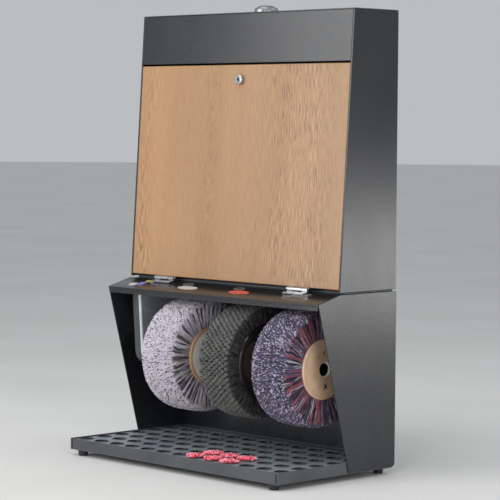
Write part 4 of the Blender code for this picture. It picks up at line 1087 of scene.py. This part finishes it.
def rigid_finishes():
    """Each finish with the radius of its rounded edges, by material slot or by a name of its own."""
    steel = polished_metal("bright_steel", (120, 121, 124), (150, 151, 154), 0.24, 0.36)
    bronze = polished_metal("bearing_bronze", (150, 116, 66), (180, 144, 90), 0.3, 0.5)
    tan = disc_board("tan_disc", (222, 184, 150), (234, 198, 164), (230, 192, 158))
    # The light brush's discs: the white face band is a painted highlight in place of a reflection on a
    # glossy rim, inside a tan edge
    pale = disc_board("painted_highlight_disc", (222, 222, 226), (255, 253, 250), (222, 166, 116))
    return {
        "powder_coated_steel": (powder_coat("powder_coat", (25, 26, 29), (33, 35, 38)), 0.6 * MM),
        # The tray's coat is the powder coat made lighter: painted light for the light falling on the tray's
        # front lip
        "scuffed": (powder_coat("painted_light_tray_coat", (58, 60, 65), (76, 79, 84)), 0.6 * MM),
        "black_rubber": (rubber(), 0.5 * MM),
        "oak_board": (oak(*door_sides()), 0.6 * MM),
        "chrome": (polished_metal("chrome", (172, 174, 178), (202, 204, 208), 0.08, 0.14), 0.4 * MM),
        "bright_steel": (steel, 0.25 * MM),
        "hinge": (polished_metal("hinge_steel", (186, 187, 190), (222, 223, 226), 0.16, 0.26), 0.25 * MM),
        "satin": (polished_metal("satin_steel", (118, 120, 124), (158, 160, 164), 0.28, 0.4), 0.4 * MM),
        "grey_plastic": (moulded("grey_plastic", (96, 101, 107), (112, 118, 124), 0.14, 0.24), 0.4 * MM),
        "black_plastic": (moulded("black_plastic", (26, 26, 27), (36, 36, 38)), 0.4 * MM),
        "gloss": (moulded("black_gloss", (24, 24, 26), (34, 34, 37), 0.1, 0.18), 0.4 * MM),
        "tan_disc": (tan, 0.8 * MM),
        "painted_highlight_disc": (pale, 0.8 * MM),
        "bearing_bronze": (bronze, 0.3 * MM),
    }


def make_rigid_skins():
    """Rigid CAD nodes get rounded edges and their slot's finish, or one of their own.

    The mat and the brush discs are left out, because they have pieces of their own.
    """
    finishes = rigid_finishes()
    for node, cad in frame["nodes"].items():
        slot = cad.data.materials[0].name
        if node.startswith("foot_"):
            softened(node, *finishes["gloss"])
        elif node == "base_tray":
            # The tray takes the lighter coat, painted light on its lip
            softened(node, *finishes["scuffed"])
        elif node.startswith("hinge_"):
            softened(node, *finishes["hinge"])
        elif node in ("button_bezel", "button_cap"):
            softened(node, *finishes["satin"])
        elif node == "apron":
            softened(node, finishes["powder_coated_steel"][0], APRON_ROUND)
        elif node == "belt_guard":
            softened(node, guard_plastic(*(corner.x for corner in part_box(node))), GUARD_ROUND)
        elif slot in finishes and node != "rubber_mat" and not node.endswith("_disc"):
            softened(node, *finishes[slot])
    return {slot: finish for slot, (finish, radius) in finishes.items()}


def make_brushes():
    """The three brushes and the sole brushes, each with its tones and the ranges its strands take."""
    light_tones = [(222, 216, 228), (204, 198, 212), (190, 184, 198), (214, 204, 210)]
    light_tones += [(164, 150, 134), (126, 132, 136), (76, 76, 80), (36, 34, 38)]
    light = bristle("light_bristle", light_tones, (70, 65, 74))
    dark_tones = [(122, 113, 150), (66, 59, 92), (204, 199, 216), (40, 35, 55)]
    dark_tones += [(90, 82, 114), (28, 25, 36), (142, 46, 66), (160, 92, 112)]
    dark = bristle("dark_bristle", dark_tones, (30, 26, 36))
    black_tones = [(26, 26, 26), (84, 86, 82), (100, 101, 95), (90, 92, 90)]
    black = bristle("black_bristle", black_tones, (8, 8, 8))
    red_tones = [(248, 56, 90), (255, 116, 140), (206, 24, 54), (255, 190, 196)]
    red = bristle("red_bristle", red_tones, (96, 4, 20))
    light_tread = [(0.0, 0.49)] * 6 + [(0.62, 0.99)]
    light_face = [(0.0, 0.49), (0.0, 0.3), (0.3, 0.62), (0.5, 0.99), (0.0, 0.99)]
    make_polish_brush("light_brush", light, LIGHT_SEED, light_tread, light_face)
    dark_tread = [(0.0, 0.74)] * 60 + [(0.76, 0.99)]
    dark_face = [(0.0, 0.6), (0.38, 0.49), (0.76, 0.99), (0.5, 0.99), (0.38, 0.74)]
    make_polish_brush("dark_brush", dark, DARK_SEED, dark_tread, dark_face)
    make_cleaning_brush(black)
    for number in range(1, 7):
        make_sole_brush(number, red)


def main():
    add_camera()
    add_studio()
    finishes = make_rigid_skins()
    make_brushes()
    for side in ("left", "right"):
        make_disc("light_brush", side, POLISH_DISC_RADIUS, finishes["painted_highlight_disc"])
        make_disc("dark_brush", side, POLISH_DISC_RADIUS, finishes["tan_disc"])
        make_disc("cleaning_brush", side, CLEAN_DISC_RADIUS, finishes["gloss"])
    make_mat(mat_rubber())
    make_markers()
    make_back_screws(finishes["bright_steel"])
    make_disc_screws(finishes["bright_steel"])
    make_inner_screws(finishes["bright_steel"])
    make_motor_fins(finishes["grey_plastic"])
    make_key_slot_shade(finishes["gloss"])


main()
